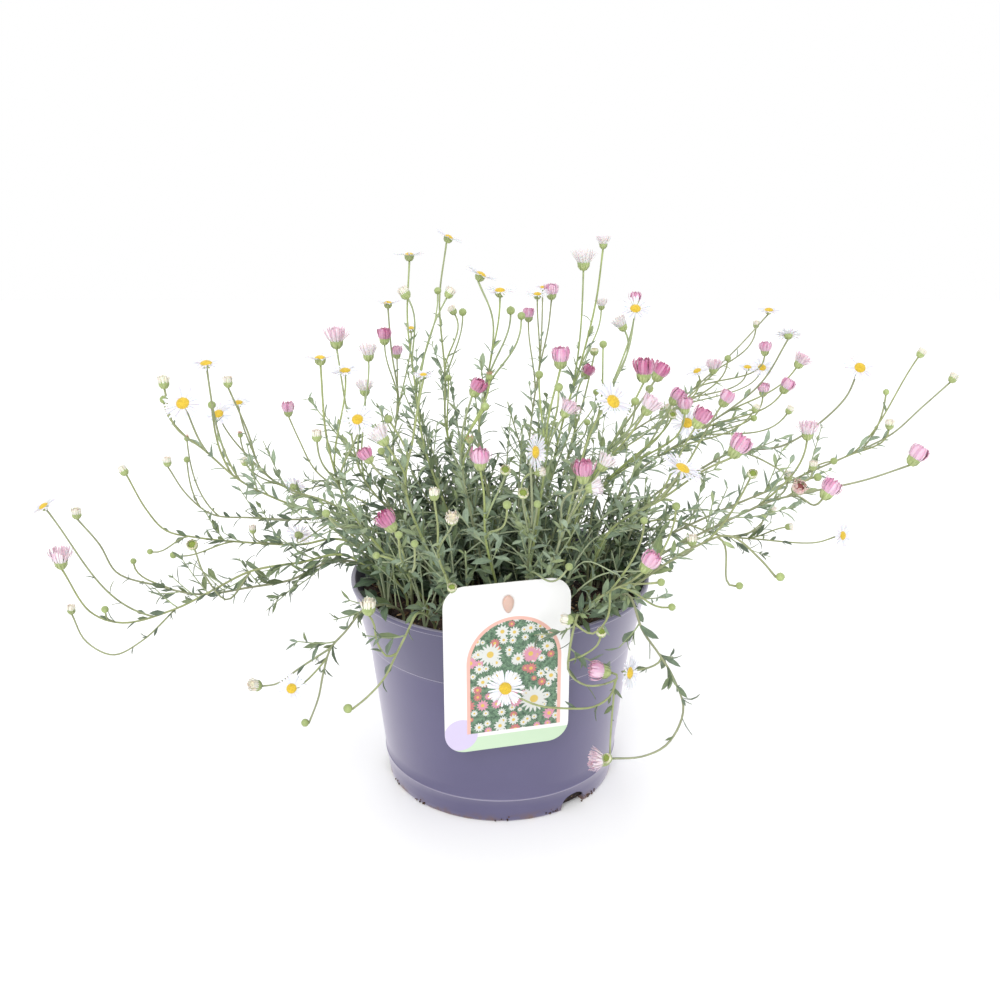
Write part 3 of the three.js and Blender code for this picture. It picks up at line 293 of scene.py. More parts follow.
# A smooth way through points: between two of them a cubic whose slopes come from the points round
# them, by the square roots of their distances.
def smoothWay(points, perPiece=waySteps):
    points = np.asarray(points, float)
    wide = np.vstack([2 * points[0] - points[1], points, 2 * points[-1] - points[-2]])
    at = np.linspace(0, len(points) - 1, perPiece * (len(points) - 1) + 1)
    i = np.minimum(at.astype(int), len(points) - 2)
    part = (at - i)[:, None]
    a, b, c, d = wide[i], wide[i + 1], wide[i + 2], wide[i + 3]
    ab, bc, cd = [np.sqrt(np.linalg.norm(gap, axis=1))[:, None] for gap in (b - a, c - b, d - c)]
    leave = ((b - a) / ab - (c - a) / (ab + bc) + (c - b) / bc) * bc
    arrive = ((c - b) / bc - (d - b) / (bc + cd) + (d - c) / cd) * bc
    square = (-3 * b + 3 * c - 2 * leave - arrive) * part ** 2
    return b + leave * part + square + (2 * b - 2 * c + leave + arrive) * part ** 3


# A way that leaves one point in one direction and reaches another from a second direction
def bezierWay(start, leave, arrive, end, count=waySteps):
    part = np.linspace(0, 1, count + 1)[:, None]
    rest = 1 - part
    return start * rest ** 3 + 3 * leave * part * rest ** 2 + 3 * arrive * part ** 2 * rest + end * part ** 3


# How far each point of a way lies along it
def lengthsAlong(way):
    return np.concatenate([[0], np.cumsum(np.linalg.norm(np.diff(way, axis=0), axis=1))])


# Values that go with such lengths, read off at other lengths
def readAt(at, lengths, values):
    return np.stack([np.interp(at, lengths, column) for column in values.T], axis=1)


# The same way with its points spaced evenly along its length
def spaced(way, step):
    lengths = lengthsAlong(way)
    count = max(int(np.ceil(lengths[-1] / step)), 3) + 1
    return readAt(np.linspace(0, lengths[-1], count), lengths, way)


def wayLength(way):
    return np.linalg.norm(np.diff(way, axis=0), axis=1).sum()


# Flower stems, each as its name, its root on the soil, the points of its main stem, and its heads.
# A head is where its stalk leaves the main stem, as a count of the stem's points, then its place,
# its kind, the way it faces and its size, and the points of its stalk where that goes its own way.
sprays = [
    ("far_left", (-64, -10), [(-87, -31, 8), (-112, -35, 12), (-140, -40, 16), (-162, -51, 18),
     (-182, -61, 20), (-212, -69, 22), (-230, -63, 22)], [
     ("end", (-247, -33, 22), "pale", "up", 1.25), (5.4, (-256, -4, 42), "daisy", "nodLeft", 0.9),
     (5, (-241, -61, 6), "half", "up", 0.9, [(-201, -79, 16), (-218, -87, 12), (-233, -79, 8)]),
     (6.2, (-222, -61, 30), "green", "up", 0.8),
     (3, (-173, -25, 38), "ring", "viewer", 1.2, [(-153, -56, 28), (-166, -42, 34)])]),
    ("left_back", (-58, 24), [(-91, -22, -30), (-112, -25, -34), (-140, -24, -38), (-171, -21, -40),
     (-188, -17, -40), (-199, -5, -40)], [
     ("end", (-212, 17, -40), "half", "leftUp", 1), (2.4, (-139, -16, -24), "half", "up", 0.8),
     (3.3, (-184, -31, -28), "green", "left", 0.8), (4.2, (-197, -29, -32), "green", "left", 0.7)]),
    ("left_low", (-66, 8), [(-92, -34, -6), (-118, -45, -8), (-140, -49, -8), (-169, -53, -6),
     (-193, -48, -4), (-215, -41, -2), (-225, -25, 0)], [
     ("end", (-238, -7, 0), "half", "up", 1), (4.6, (-206, -34, -10), "green", "up", 0.7)]),
    ("left_rear", (-50, 38), [(-91, -11, -68), (-118, -11, -76), (-140, -10, -80), (-162, -8, -84),
     (-176, 3, -84)], [
     ("end", (-187, 22, -84), "half", "up", 1), (4.4, (-176, 23, -92), "green", "up", 0.8),
     (3.8, (-176, 35, -98), "spent", "up", 0.8)]),
    ("left_high", (-52, -24), [(-94, -11, 34), (-124, 0, 46), (-146, 11, 55), (-166, 28, 60),
     (-183, 42, 62)], [
     ("end", (-189, 67, 62), "half", "up", 1), (4.6, (-189, 57, 54), "green", "up", 0.8),
     (3.9, (-178, 54, 74), "daisy", "viewer", 1.1), (3, (-165, 76, 50), "daisy", "nod", 1),
     (3.2, (-162, 54, 42), "green", "up", 0.8)]),
    ("left_mid", (-44, 8), [(-93, -3, -10), (-118, 6, -14), (-134, 17, -18), (-142, 39, -20)], [
     ("end", (-153, 67, -20), "half", "up", 1), (2.6, (-158, 48, -4), "daisy", "viewerUp", 0.95),
     (3.2, (-147, 54, -34), "daisy", "nod", 0.9), (2.6, (-146, 37, -40), "spent", "up", 0.7),
     (2, (-144, 22, -2), "half", "leftUp", 0.8)]),
    ("left_far_back", (-34, 54), [(-90, 6, -104), (-104, 17, -112), (-113, 34, -118)], [
     ("end", (-119, 51, -120), "pink", "up", 1.05), (1.2, (-116, 7, -128), "daisy", "backView", 1),
     (0.7, (-113, -20, -96), "daisy", "backView", 1.1)]),
    ("left_front", (-40, -36), [(-84, -6, 60), (-93, 17, 70), (-98, 39, 76)], [
     ("end", (-101, 79, 78), "flat", "up", 0.95), (1.5, (-103, 37, 92), "half", "up", 0.9),
     (0.8, (-98, -7, 86), "green", "leftUp", 0.8), (2, (-87, 72, 60), "daisy", "nod", 0.9),
     (1.6, (-80, 45, 98), "daisy", "viewer", 0.9)]),
    ("left_inner", (-30, 18), [(-76, 11, -10), (-85, 45, -16)], [
     ("end", (-92, 91, -20), "pale", "up", 1.25), (1.2, (-74, 83, 2), "cup", "up", 1),
     (1, (-76, 63, -38), "cup", "up", 1)]),
    ("back_left", (-20, 44), [(-59, 22, -80), (-57, 56, -95), (-61, 84, -100)], [
     ("end", (-63, 110, -104), "flat", "up", 0.95), (2, (-65, 92, -84), "magenta", "up", 1.1),
     (1.6, (-58, 83, -118), "pink", "up", 0.9), (1.8, (-50, 96, -94), "flat", "nod", 0.8)]),
    ("top_left", (-16, 6), [(-42, 28, -10), (-48, 67, -16), (-52, 101, -20)], [
     ("end", (-51, 137, -22), "flat", "up", 0.95), (2.2, (-54, 117, -12), "half", "leftUp", 1.1),
     (1.8, (-35, 118, -36), "green", "up", 0.8), (1.6, (-28, 117, -4), "half", "rightUp", 0.95)]),
    ("top_back", (2, 38), [(-29, 34, -70), (-31, 73, -84), (-34, 112, -92)], [
     ("end", (-29, 147, -96), "flat", "tiltRight", 1), (2, (-27, 107, -102), "half", "leftUp", 0.95),
     (1.8, (-21, 106, -80), "green", "up", 0.95), (1, (-29, 69, -68), "green", "up", 0.8)]),
    ("top_mid", (6, -4), [(-12, 34, 10), (-7, 67, 14), (-4, 101, 16)], [
     ("end", (-11, 126, 16), "flat", "tiltRight", 1), (2.2, (0, 117, 36), "flat", "nod", 0.95),
     (2, (6, 107, 4), "green", "up", 0.9), (1.8, (12, 104, 36), "green", "up", 0.8)]),
    ("mid_front", (-6, -26), [(-21, 17, 50), (-21, 39, 56)], [
     ("end", (-13, 63, 58), "magenta", "rightUp", 1), (1.4, (-6, 70, 44), "spent", "up", 0.8),
     (1.4, (-8, 53, 72), "green", "rightUp", 0.8), (1, (-17, 34, 76), "spent", "viewer", 0.8)]),
    ("front_left", (-24, -44), [(-53, 6, 90), (-49, 34, 98), (-46, 53, 100)], [
     ("end", (-43, 70, 100), "daisy", "nod", 0.55), (1.6, (-63, 46, 92), "green", "leftUp", 0.8),
     (1.2, (-67, 36, 106), "cup", "leftUp", 1), (1, (-75, 25, 120), "magenta", "leftUp", 0.8),
     (0.9, (-67, 28, 86), "green", "leftUp", 0.7)]),
    ("back_mid", (16, 56), [(17, 39, -120), (22, 73, -136), (27, 96, -142)], [
     ("end", (29, 117, -146), "pink", "up", 1.1), (1.6, (16, 104, -154), "pink", "up", 1),
     (2, (21, 115, -134), "flat", "nod", 0.95), (1.9, (24, 119, -172), "daisy", "nod", 0.7)]),
    ("top_right", (20, 14), [(34, 39, -30), (46, 79, -40), (54, 112, -46)], [
     ("end", (58, 145, -50), "cup", "up", 0.8), (1.5, (47, 135, -26), "cup", "up", 1.2),
     (1.8, (57, 110, -64), "cup", "up", 0.7)]),
    ("front_mid", (14, -32), [(25, 17, 60), (27, 45, 68)], [
     ("end", (34, 80, 72), "pink", "up", 1.1), (1.2, (22, 71, 58), "green", "up", 0.8),
     (1.3, (33, 64, 86), "green", "up", 0.8), (1, (38, 51, 88), "pale", "rightUp", 0.9)]),
    ("back_inner", (28, 34), [(39, 28, -70), (47, 56, -82)], [
     ("end", (53, 84, -88), "ring", "up", 1.1), (1.3, (49, 72, -68), "magenta", "rightUp", 1),
     (1.2, (54, 61, -100), "green", "up", 0.8), (0.9, (49, 44, -58), "green", "up", 0.8)]),
    ("right_top", (36, 2), [(48, 28, 0), (62, 62, 2), (72, 84, 2)], [
     ("end", (76, 107, 2), "daisy", "viewerUp", 1), (1.8, (68, 99, -10), "cup", "leftUp", 0.9),
     (1.5, (58, 88, 14), "green", "up", 0.8), (1.9, (76, 113, -14), "pink", "up", 0.8)]),
    ("right_inner", (32, -18), [(51, 11, 44), (67, 39, 56)], [
     ("end", (81, 73, 64), "magenta", "up", 1.25), (1.4, (90, 72, 86), "magenta", "rightUp", 1),
     (1.4, (84, 63, 46), "green", "up", 0.8), (1.2, (76, 56, 76), "green", "up", 0.8),
     (1, (84, 53, 98), "pale", "rightUp", 1)]),
    ("front_right", (22, -48), [(34, -22, 96), (42, -3, 108)], [
     ("end", (47, 16, 116), "magenta", "up", 1.15), (1.2, (59, 21, 100), "cup", "rightUp", 0.9),
     (1, (53, 7, 130), "cup", "right", 0.8), (1.1, (63, 55, 100), "daisy", "viewerRight", 1.15)]),
    ("right_back", (42, 30), [(56, 17, -56), (84, 39, -72), (107, 59, -82)], [
     ("end", (120, 75, -88), "pale", "up", 1), (2, (111, 72, -100), "daisy", "nodLeft", 0.9),
     (2.4, (128, 80, -72), "green", "up", 0.8)]),
    ("right_mid", (50, -4), [(56, 6, 20), (81, 28, 26)], [
     ("end", (99, 58, 30), "pink", "rightUp", 1), (1.5, (104, 53, 48), "pink", "up", 0.9),
     (1.4, (95, 52, 14), "half", "up", 0.8), (1.2, (97, 48, 62), "ring", "viewer", 0.8),
     (1, (105, 43, 40), "daisy", "viewer", 1)]),
    ("right_front", (48, -30), [(62, -17, 66), (90, 0, 82), (115, 17, 92)], [
     ("end", (134, 30, 96), "pink", "rightUp", 1.25), (1.2, (102, 17, 110), "daisy", "nodRight", 1.2),
     (1.8, (113, 46, 90), "magenta", "rightUp", 1.1), (2, (127, 57, 76), "pink", "rightUp", 0.9)]),
    ("far_back", (36, 50), [(62, 28, -110), (101, 56, -130), (132, 84, -140)], [
     ("end", (151, 106, -144), "daisy", "nod", 1), (2.4, (144, 99, -156), "half", "up", 0.8),
     (1.9, (139, 74, -126), "daisy", "nod", 0.9), (1.7, (147, 74, -160), "daisy", "viewerUp", 1),
     (2.2, (149, 85, -132), "pink", "up", 1)]),
    ("right_high", (54, 16), [(73, 11, -30), (112, 39, -40), (146, 65, -46)], [
     ("end", (162, 92, -48), "daisy", "away", 0.9), (2.3, (169, 78, -62), "pale", "rightUp", 1),
     (2, (161, 64, -30), "pink", "rightUp", 1), (1.7, (148, 62, -70), "pink", "up", 0.9),
     (1.5, (144, 52, -24), "half", "rightUp", 0.8), (1.8, (163, 51, -14), "half", "rightUp", 0.8),
     (1.4, (143, 46, -60), "green", "right", 0.8)]),
    ("right_long", (64, -8), [(84, 0, 10), (112, 17, 14), (131, 27, 16), (160, 31, 18), (193, 56, 22)], [
     ("end", (202, 74, 22), "daisy", "viewer", 1), (3, (176, 20, 0), "half", "up", 0.9)]),
    ("far_right", (64, 20), [(90, -22, -10), (124, -6, -14), (155, 7, -16), (177, 17, -18),
     (198, 26, -20), (220, 37, -22), (237, 52, -24)], [
     ("end", (255, 69, -26), "half", "rightUp", 0.9), (5, (237, 83, -42), "half", "rightUp", 0.9),
     (4.8, (219, 43, -4), "half", "up", 0.9), (5.2, (217, 61, -34), "green", "up", 0.7),
     (3.6, (188, 22, -4), "green", "right", 0.8)]),
    ("right_low", (60, -26), [(90, -31, 58), (129, -11, 74), (154, 0, 80), (171, 4, 84), (204, 11, 90)], [
     ("end", (234, 25, 92), "pink", "rightUp", 1.1), (3.6, (185, 6, 106), "pink", "rightUp", 1.1),
     (3.4, (179, 13, 72), "green", "right", 0.8), (3, (168, 7, 102), "fading", "viewer", 1.15),
     (2.4, (162, 14, 64), "half", "up", 0.8), (2.6, (173, 39, 60), "pale", "up", 1)]),
    ("right_rear", (54, 40), [(90, -11, -60), (124, -20, -66), (144, -22, -70), (177, -24, -74)], [
     ("end", (192, -20, -76), "daisy", "viewerOut", 1), (2.8, (163, -15, -62), "half", "right", 0.8),
     (2.4, (153, -5, -86), "half", "rightUp", 0.9), (2.2, (148, -9, -56), "green", "up", 0.7)]),
    ("right_lower", (58, -44), [(84, -42, 98), (112, -25, 106), (129, -20, 110), (146, -33, 114)], [
     ("end", (158, -43, 116), "green", "right", 0.8), (2.6, (135, -48, 106), "green", "right", 0.7),
     (1.4, (108, -22, 94), "half", "up", 0.9), (0.9, (99, -3, 90), "green", "up", 0.8),
     (2.2, (142, 15, 124), "ring", "viewer", 0.9)]),
    ("rim_right", (42, -54), [(62, -51, 106), (73, -46, 116)], [
     ("end", (84, -35, 122), "pink", "rightUp", 1.15), (1.6, (91, -46, 130), "green", "right", 0.7),
     (1, (81, -11, 110), "green", "up", 0.7), (1.4, (97, -60, 106), "green", "right", 0.7),
     (1, (37, -67, 128), "half", "left", 0.9, [(60, -67, 122), (52, -75, 128), (44, -71, 130)])]),
    ("hang_right", (54, -54), [(73, -54, 94), (80, -73, 100), (89, -86, 104), (97, -99, 106),
     (103, -118, 110), (94, -137, 114), (80, -144, 116)], [
     ("end", (60, -145, 116), "ring", "viewerLeft", 1), (3.2, (72, -97, 116), "daisy", "rightOut", 1)]),
    ("hang_front", (44, -60), [(43, -66, 96), (39, -85, 100), (39, -97, 102), (48, -104, 104),
     (60, -103, 104), (67, -99, 104)], [
     ("end", (56, -96, 102), "pink", "left", 1.15),
     (5.6, (3, -106, 118), "daisy", "viewer", 1.05,
      [(62, -110, 106), (53, -116, 108), (37, -117, 112), (20, -115, 115)]),
     (5.5, (56, -146, 92), "pale", "left", 1.1, [(64, -109, 100), (63, -120, 95), (62, -135, 92)]),
     (2.4, (57, -74, 112), "ring", "viewerUp", 1, [(47, -87, 106), (55, -81, 110)])]),
    ("hang_left", (-34, -62), [(-47, -64, 92), (-52, -74, 100), (-58, -86, 104), (-65, -100, 106),
     (-75, -111, 106)], [
     ("end", (-86, -117, 106), "green", "left", 0.9),
     (3, (-74, -59, 106), "half", "up", 1.3, [(-63, -88, 106), (-69, -80, 108), (-71, -69, 108)])]),
    ("low_left", (-52, -46), [(-76, -61, 82), (-87, -74, 90), (-95, -83, 92), (-99, -96, 92),
     (-102, -111, 92)], [
     ("end", (-110, -125, 90), "green", "left", 0.8), (3.4, (-117, -106, 98), "daisy", "viewer", 0.9),
     (3, (-138, -104, 82), "half", "viewerLeft", 1.15, [(-112, -94, 88), (-125, -103, 84)])]),
    ("front_leftmost", (-48, -34), [(-51, -42, 72), (-56, -25, 92)], [
     ("end", (-63, -12, 102), "magenta", "leftUp", 1.15), (1.2, (-57, -19, 114), "green", "up", 0.7),
     (1, (-48, -24, 120), "green", "up", 0.7), (0.9, (-70, -31, 94), "green", "left", 0.7)]),
    ("front_buds", (-14, -60), [(-34, -34, 98), (-35, -14, 110)], [
     ("end", (-37, 4, 116), "half", "up", 0.9), (1.2, (-27, -10, 128), "half", "viewer", 1.1),
     (0.8, (-27, -49, 122), "ring", "viewerUp", 0.9)]),
    ("front_pink", (2, -48), [(-8, -22, 84), (-9, 3, 96)], [
     ("end", (-11, 23, 102), "pink", "up", 1.1), (1.3, (3, 17, 104), "ring", "viewer", 1),
     (1, (4, -2, 118), "green", "up", 0.8)]),
    ("front_centre", (12, -66), [(16, -31, 74), (18, -6, 102)], [
     ("end", (19, 27, 112), "daisy", "rightOut", 1), (1.2, (13, 4, 126), "ring", "viewer", 1),
     (1.5, (23, 16, 102), "half", "right", 0.8), (0.9, (21, -2, 116), "green", "viewer", 0.7),
     (0.7, (39, -37, 114), "green", "rightUp", 0.7)]),
]

# Materials

def addNode(tree, kind, **settings):
    node = tree.nodes.new(kind)
    for key, value in settings.items():
        setattr(node, key, value)
    return node


def feed(tree, socket, value):
    if isinstance(value, bpy.types.NodeSocket):
        tree.links.new(value, socket)
    else:
        socket.default_value = value


def calc(tree, operation, first, second=0.0, third=0.0):
    node = addNode(tree, "ShaderNodeMath", operation=operation)
    for socket, value in zip(node.inputs, (first, second, third)):
        feed(tree, socket, value)
    return node.outputs[0]


def blendColors(tree, factor, first, second):
    node = addNode(tree, "ShaderNodeMix", data_type="RGBA")
    feed(tree, node.inputs["Factor"], factor)
    for socket, value in ((node.inputs[6], first), (node.inputs[7], second)):
        feed(tree, socket, value if isinstance(value, bpy.types.NodeSocket) else (*value, 1))
    return node.outputs[2]


# 0 below low, 1 above high, and a straight ramp between
def ramp(tree, value, low, high):
    node = addNode(tree, "ShaderNodeMapRange", clamp=True)
    for socket, number in zip(node.inputs, (value, low, high, 0.0, 1.0)):
        feed(tree, socket, number)
    return node.outputs[0]


def noise(tree, vector, scale, detail=3.0, roughness=0.55):
    node = addNode(tree, "ShaderNodeTexNoise")
    feed(tree, node.inputs["Vector"], vector)
    feed(tree, node.inputs["Scale"], scale)
    feed(tree, node.inputs["Detail"], detail)
    feed(tree, node.inputs["Roughness"], roughness)
    return node.outputs[0]


def objectPlace(tree):
    return addNode(tree, "ShaderNodeTexCoord").outputs["Object"]


def splitVector(tree, vector):
    node = addNode(tree, "ShaderNodeSeparateXYZ")
    tree.links.new(vector, node.inputs[0])
    return node.outputs


def scaleVector(tree, vector, factor):
    node = addNode(tree, "ShaderNodeVectorMath", operation="SCALE")
    tree.links.new(vector, node.inputs[0])
    tree.links.new(factor, node.inputs["Scale"])
    return node.outputs[0]


def wayPlace(tree):
    return splitVector(tree, addNode(tree, "ShaderNodeUVMap", uv_map="way").outputs[0])[:2]


# A sine of so many waves over a length of 1
def waves(tree, value, count):
    return calc(tree, "SINE", calc(tree, "MULTIPLY", value, 2 * np.pi * count))


def newGroup(name, inputs, outputs):
    tree = bpy.data.node_groups.new(name, "ShaderNodeTree")
    for side, sockets in (("INPUT", inputs), ("OUTPUT", outputs)):
        for label, kind in sockets.items():
            tree.interface.new_socket(label, in_out=side, socket_type="NodeSocket" + kind)
    return tree, addNode(tree, "NodeGroupInput").outputs, addNode(tree, "NodeGroupOutput").inputs


# Mottle: the tint made lighter and darker by soft noise
def makeMottle():
    inputs = {"Tint": "Color", "Scale": "Float", "Strength": "Float"}
    tree, given, result = newGroup("mottle", inputs, {"Color": "Color"})
    spots = ramp(tree, noise(tree, objectPlace(tree), given["Scale"]), 0.3, 0.7)
    level = calc(tree, "MULTIPLY_ADD", calc(tree, "SUBTRACT", spots, 0.5), given["Strength"], 1.0)
    tree.links.new(scaleVector(tree, given["Tint"], level), result["Color"])
    return tree


# Grain: two noises of one scale and of a third of it, added, as a height
def makeGrain():
    tree, given, result = newGroup("grain", {"Scale": "Float"}, {"Height": "Float"})
    spot = objectPlace(tree)
    coarse = noise(tree, spot, calc(tree, "DIVIDE", given["Scale"], 3.0))
    fine = noise(tree, spot, given["Scale"], 1.0)
    tree.links.new(calc(tree, "MULTIPLY_ADD", fine, 0.5, coarse), result["Height"])
    return tree


mottle = makeMottle()
grain = makeGrain()


def useGroup(tree, group, **values):
    node = addNode(tree, "ShaderNodeGroup", node_tree=group)
    for label, value in values.items():
        feed(tree, node.inputs[label], value)
    return node.outputs


# A tint with its mottle. It is the piece's own tint where none is given.
def mottled(tree, scale, strength, tint=None):
    if tint is None:
        tint = addNode(tree, "ShaderNodeAttribute", attribute_name="tint").outputs["Color"]
    else:
        tint = (*tint, 1)
    return useGroup(tree, mottle, Tint=tint, Scale=scale, Strength=strength)["Color"]


def newMaterial(name, settings):
    material = bpy.data.materials.new(name)
    material.use_nodes = True
    tree = material.node_tree
    shader = tree.nodes["Principled BSDF"]
    for label, value in settings.items():
        shader.inputs[label].default_value = value
    return material, tree, shader


def setBump(tree, shader, height, strength, distance):
    bump = addNode(tree, "ShaderNodeBump")
    bump.inputs["Strength"].default_value = strength
    bump.inputs["Distance"].default_value = distance
    tree.links.new(height, bump.inputs["Height"])
    tree.links.new(bump.outputs[0], shader.inputs["Normal"])


def paint(tree, shader, color):
    tree.links.new(color, shader.inputs["Base Color"])


# Stems: green with fine lengthwise ribs and a soft mottle
def makeStemSkin():
    material, tree, shader = newMaterial("stemSkin", {"Roughness": 0.5, "Sheen Weight": 0.08})
    paint(tree, shader, mottled(tree, 160.0, 0.35))
    setBump(tree, shader, waves(tree, wayPlace(tree)[0], 7), 0.25, 0.0001)
    return material


# Leaves: a pale midrib, faint side veins that slant forwards, and a soft mottle
def makeLeafSkin():
    settings = {"Roughness": 0.6, "Sheen Weight": 0.1, "Specular IOR Level": 0.4}
    material, tree, shader = newMaterial("leafSkin", settings)
    across, along = wayPlace(tree)
    fromMiddle = calc(tree, "ABSOLUTE", calc(tree, "SUBTRACT", across, 0.5))
    midrib = calc(tree, "SUBTRACT", 1.0, ramp(tree, fromMiddle, 0.02, 0.09))
    back = calc(tree, "MULTIPLY", fromMiddle, 5.0)
    slant = calc(tree, "SUBTRACT", calc(tree, "MULTIPLY", along, 7.0), back)
    veins = calc(tree, "MULTIPLY", ramp(tree, waves(tree, slant, 1), 0.7, 1.0), 0.35)
    lines = calc(tree, "MAXIMUM", midrib, veins)
    body = mottled(tree, 240.0, 0.4)
    pale = addNode(tree, "ShaderNodeVectorMath", operation="MULTIPLY_ADD")
    for socket, value in zip(pale.inputs, (body, (1.3, 1.3, 1.2), (0.03, 0.045, 0.015))):
        feed(tree, socket, value)
    paint(tree, shader, blendColors(tree, calc(tree, "MULTIPLY", lines, 0.6), body, pale.outputs[0]))
    setBump(tree, shader, calc(tree, "MULTIPLY", lines, -1.0), 0.5, 0.0002)
    return material


# Rays: fine lengthwise streaks
def makePetalSkin():
    settings = {"Roughness": 0.6, "Sheen Weight": 0.2, "Subsurface Weight": 0.12, "Subsurface Scale": 0.001}
    material, tree, shader = newMaterial("petalSkin", settings)
    streaks = waves(tree, wayPlace(tree)[0], 4)
    level = calc(tree, "MULTIPLY_ADD", streaks, 0.04, 0.97)
    paint(tree, shader, scaleVector(tree, mottled(tree, 300.0, 0.12), level))
    setBump(tree, shader, streaks, 0.3, 0.0001)
    return material


# Disc florets: a mealy yellow
def makeDiscFloret():
    material, tree, shader = newMaterial("discFloret", {"Roughness": 0.75, "Sheen Weight": 0.2})
    paint(tree, shader, mottled(tree, 900.0, 0.35))
    setBump(tree, shader, useGroup(tree, grain, Scale=2600.0)["Height"], 0.4, 0.0002)
    return material


plantSkins = [makeStemSkin(), makeLeafSkin(), makePetalSkin(), makeDiscFloret()]
stemSlot, leafSlot, petalSlot, discSlot = range(4)
print("plant materials made")

# Where things lie

# A place is [across, up, toward]: a point of the tilted plane through the pot's axis that the
# camera looks at, slid along the line of sight until it stands that far out to the front.
view = {"eye": np.array([0.0, -583.0, 371.0]), "tilt": np.radians(19.46), "aimHeight": 165.5}


def place(at):
    across, up, toward = at
    eye = view["eye"]
    tilt = view["tilt"]
    onPlane = np.array([across, up * np.sin(tilt), view["aimHeight"] + up * np.cos(tilt)])
    return mix(eye, onPlane, (-toward - eye[1]) / (onPlane[1] - eye[1]))


boxLow, boxHigh = (np.array(corner) / metre for corner in cadBox)
boxLow, boxHigh = boxLow + [1, 1, -1], boxHigh - 1.5  # leaves keep this far inside the CAD's box
cardTurn = np.radians(cardSizes["turn"])
cardOut = np.array([np.sin(cardTurn), -np.cos(cardTurn), 0])
cardAlong = np.array([np.cos(cardTurn), np.sin(cardTurn), 0])


# How far stems and leaves keep from the pot's wall and rim, from its wall inside, from the soil,
# from the card and what stands in front of it, and from the floor
keepOff = {"wall": 1.0, "rim": 0.8, "inside": 3.4, "soil": 1.0, "card": 0.8, "front": 2.0, "floor": 0.5}


# The pot's outside radius at a height: straight up the wall, a step, and straight up the collar
def potRadius(height):
    s = potSizes
    levels = [0, s["bandBottom"], s["bandBottom"] + 0.3, s["height"]]
    radii = [s["baseRadius"], s["bandRadius"] - s["bandStep"], s["bandRadius"], s["rimRadius"]]
    return np.interp(height, levels, radii)


# Whether points (..., 3) keep out of the pot's wall, the soil and the card
def isClear(points):
    x, y, z = points[..., 0], points[..., 1], points[..., 2]
    fromAxis = np.hypot(x, y)
    outside = potRadius(z)
    inPot = (z < potSizes["height"] + keepOff["rim"]) & (fromAxis < outside + keepOff["wall"])
    overSoil = (fromAxis < outside - keepOff["inside"]) & (z > soilSizes["top"] + keepOff["soil"])
    along = points @ cardAlong - cardSizes["shift"]
    out = points @ cardOut - potSizes["rimRadius"]
    near, low = keepOff["card"], cardSizes["bottom"]
    inCard = (np.abs(along) < cardSizes["width"] / 2 + near) & (out > -near) & (out < keepOff["front"])
    inCard &= (z > low - near) & (z < low + cardSizes["height"] + near)
    inBox = np.all((points > boxLow) & (points < boxHigh), axis=-1)
    return (~inPot | overSoil) & ~inCard & inBox & (z > keepOff["floor"])


aside = {"from": 75, "span": 60}  # distances from the pot's axis


# 0 over the pot, 1 well beside it
def farAside(points):
    return riseFrom(np.hypot(points[:, 0], points[:, 1]), aside["from"], aside["span"])


# Leaves

leafForms = {
    "lance": {
        "along": np.array([0, 0.2, 0.5, 0.8, 1]), "section": blade4, "thick": 0.34,
        "outline": np.array([0.14, 0.52, 1, 0.66, 0.08]), "fold": 0.22, "point": 0.05,
    },
    "spoon": {
        "along": np.array([0, 0.25, 0.5, 0.7, 0.88, 1]), "section": blade4, "thick": 0.36,
        "outline": np.array([0.12, 0.26, 0.72, 1, 0.74, 0.1]), "fold": 0.2, "point": 0.05,
    },
    "lobed": {
        "along": np.array([0, 0.24, 0.4, 0.5, 0.57, 0.64, 0.8, 0.92, 1]), "section": blade6,
        "outline": np.array([0.08, 0.18, 0.46, 0.86, 1, 0.58, 0.44, 0.26, 0.05]),
        "sweep": np.array([0, 0, 0, 0.02, 0.06, 0.05, 0, 0, 0]),
        "thick": 0.3, "fold": 0.18, "point": 0.04,
    },
}
leafWidths = {"lance": 0.152, "spoon": 0.185, "lobed": 0.26}  # half of it, for each unit of length
leafTints = {  # each as a bluish and a yellowish green
    "deep": (srgb(59, 82, 57), srgb(68, 87, 46)),
    "middle": (srgb(84, 109, 82), srgb(98, 119, 66)),
    # The pale green tint serves young leaves and painted light alike
    "paleGreen": (srgb(153, 169, 149), srgb(164, 177, 130)),
    "baseShade": 1.08, "tipShade": 0.92,
    "paintedLight": 0.6, "paintedLightAside": 0.4, "paintedLightFrom": 132, "paintedLightSpan": 70,  # painted light: paler high up and far out
    "lowShade": 0.7, "lowFrom": 118, "lowSpan": 40,  # darker low down
}
leafPlacing = {
    "tries": 7, "reach": np.array([0.35, 0.6, 0.85, 1.0]),  # points tried along each leaf
    "bend": -0.35, "bendSpread": 0.4, "faceUp": 0.35,  # leaves droop, and turn their faces up
}
hueRng = np.random.default_rng(41)  # draws hues alone, so that no leaf moves with them

# Patches of bare soil at the front: x, y and radius, up to a height
bareSoil = {"patches": [(-47, -40, 19), (-29, -55, 13), (50, -40, 20), (57, -13, 12)], "top": 142}


def isBare(points):
    low = points[..., 2] < bareSoil["top"]
    x, y = points[..., 0], points[..., 1]
    return sum((np.hypot(x - px, y - py) < radius) & low for px, py, radius in bareSoil["patches"]) > 0


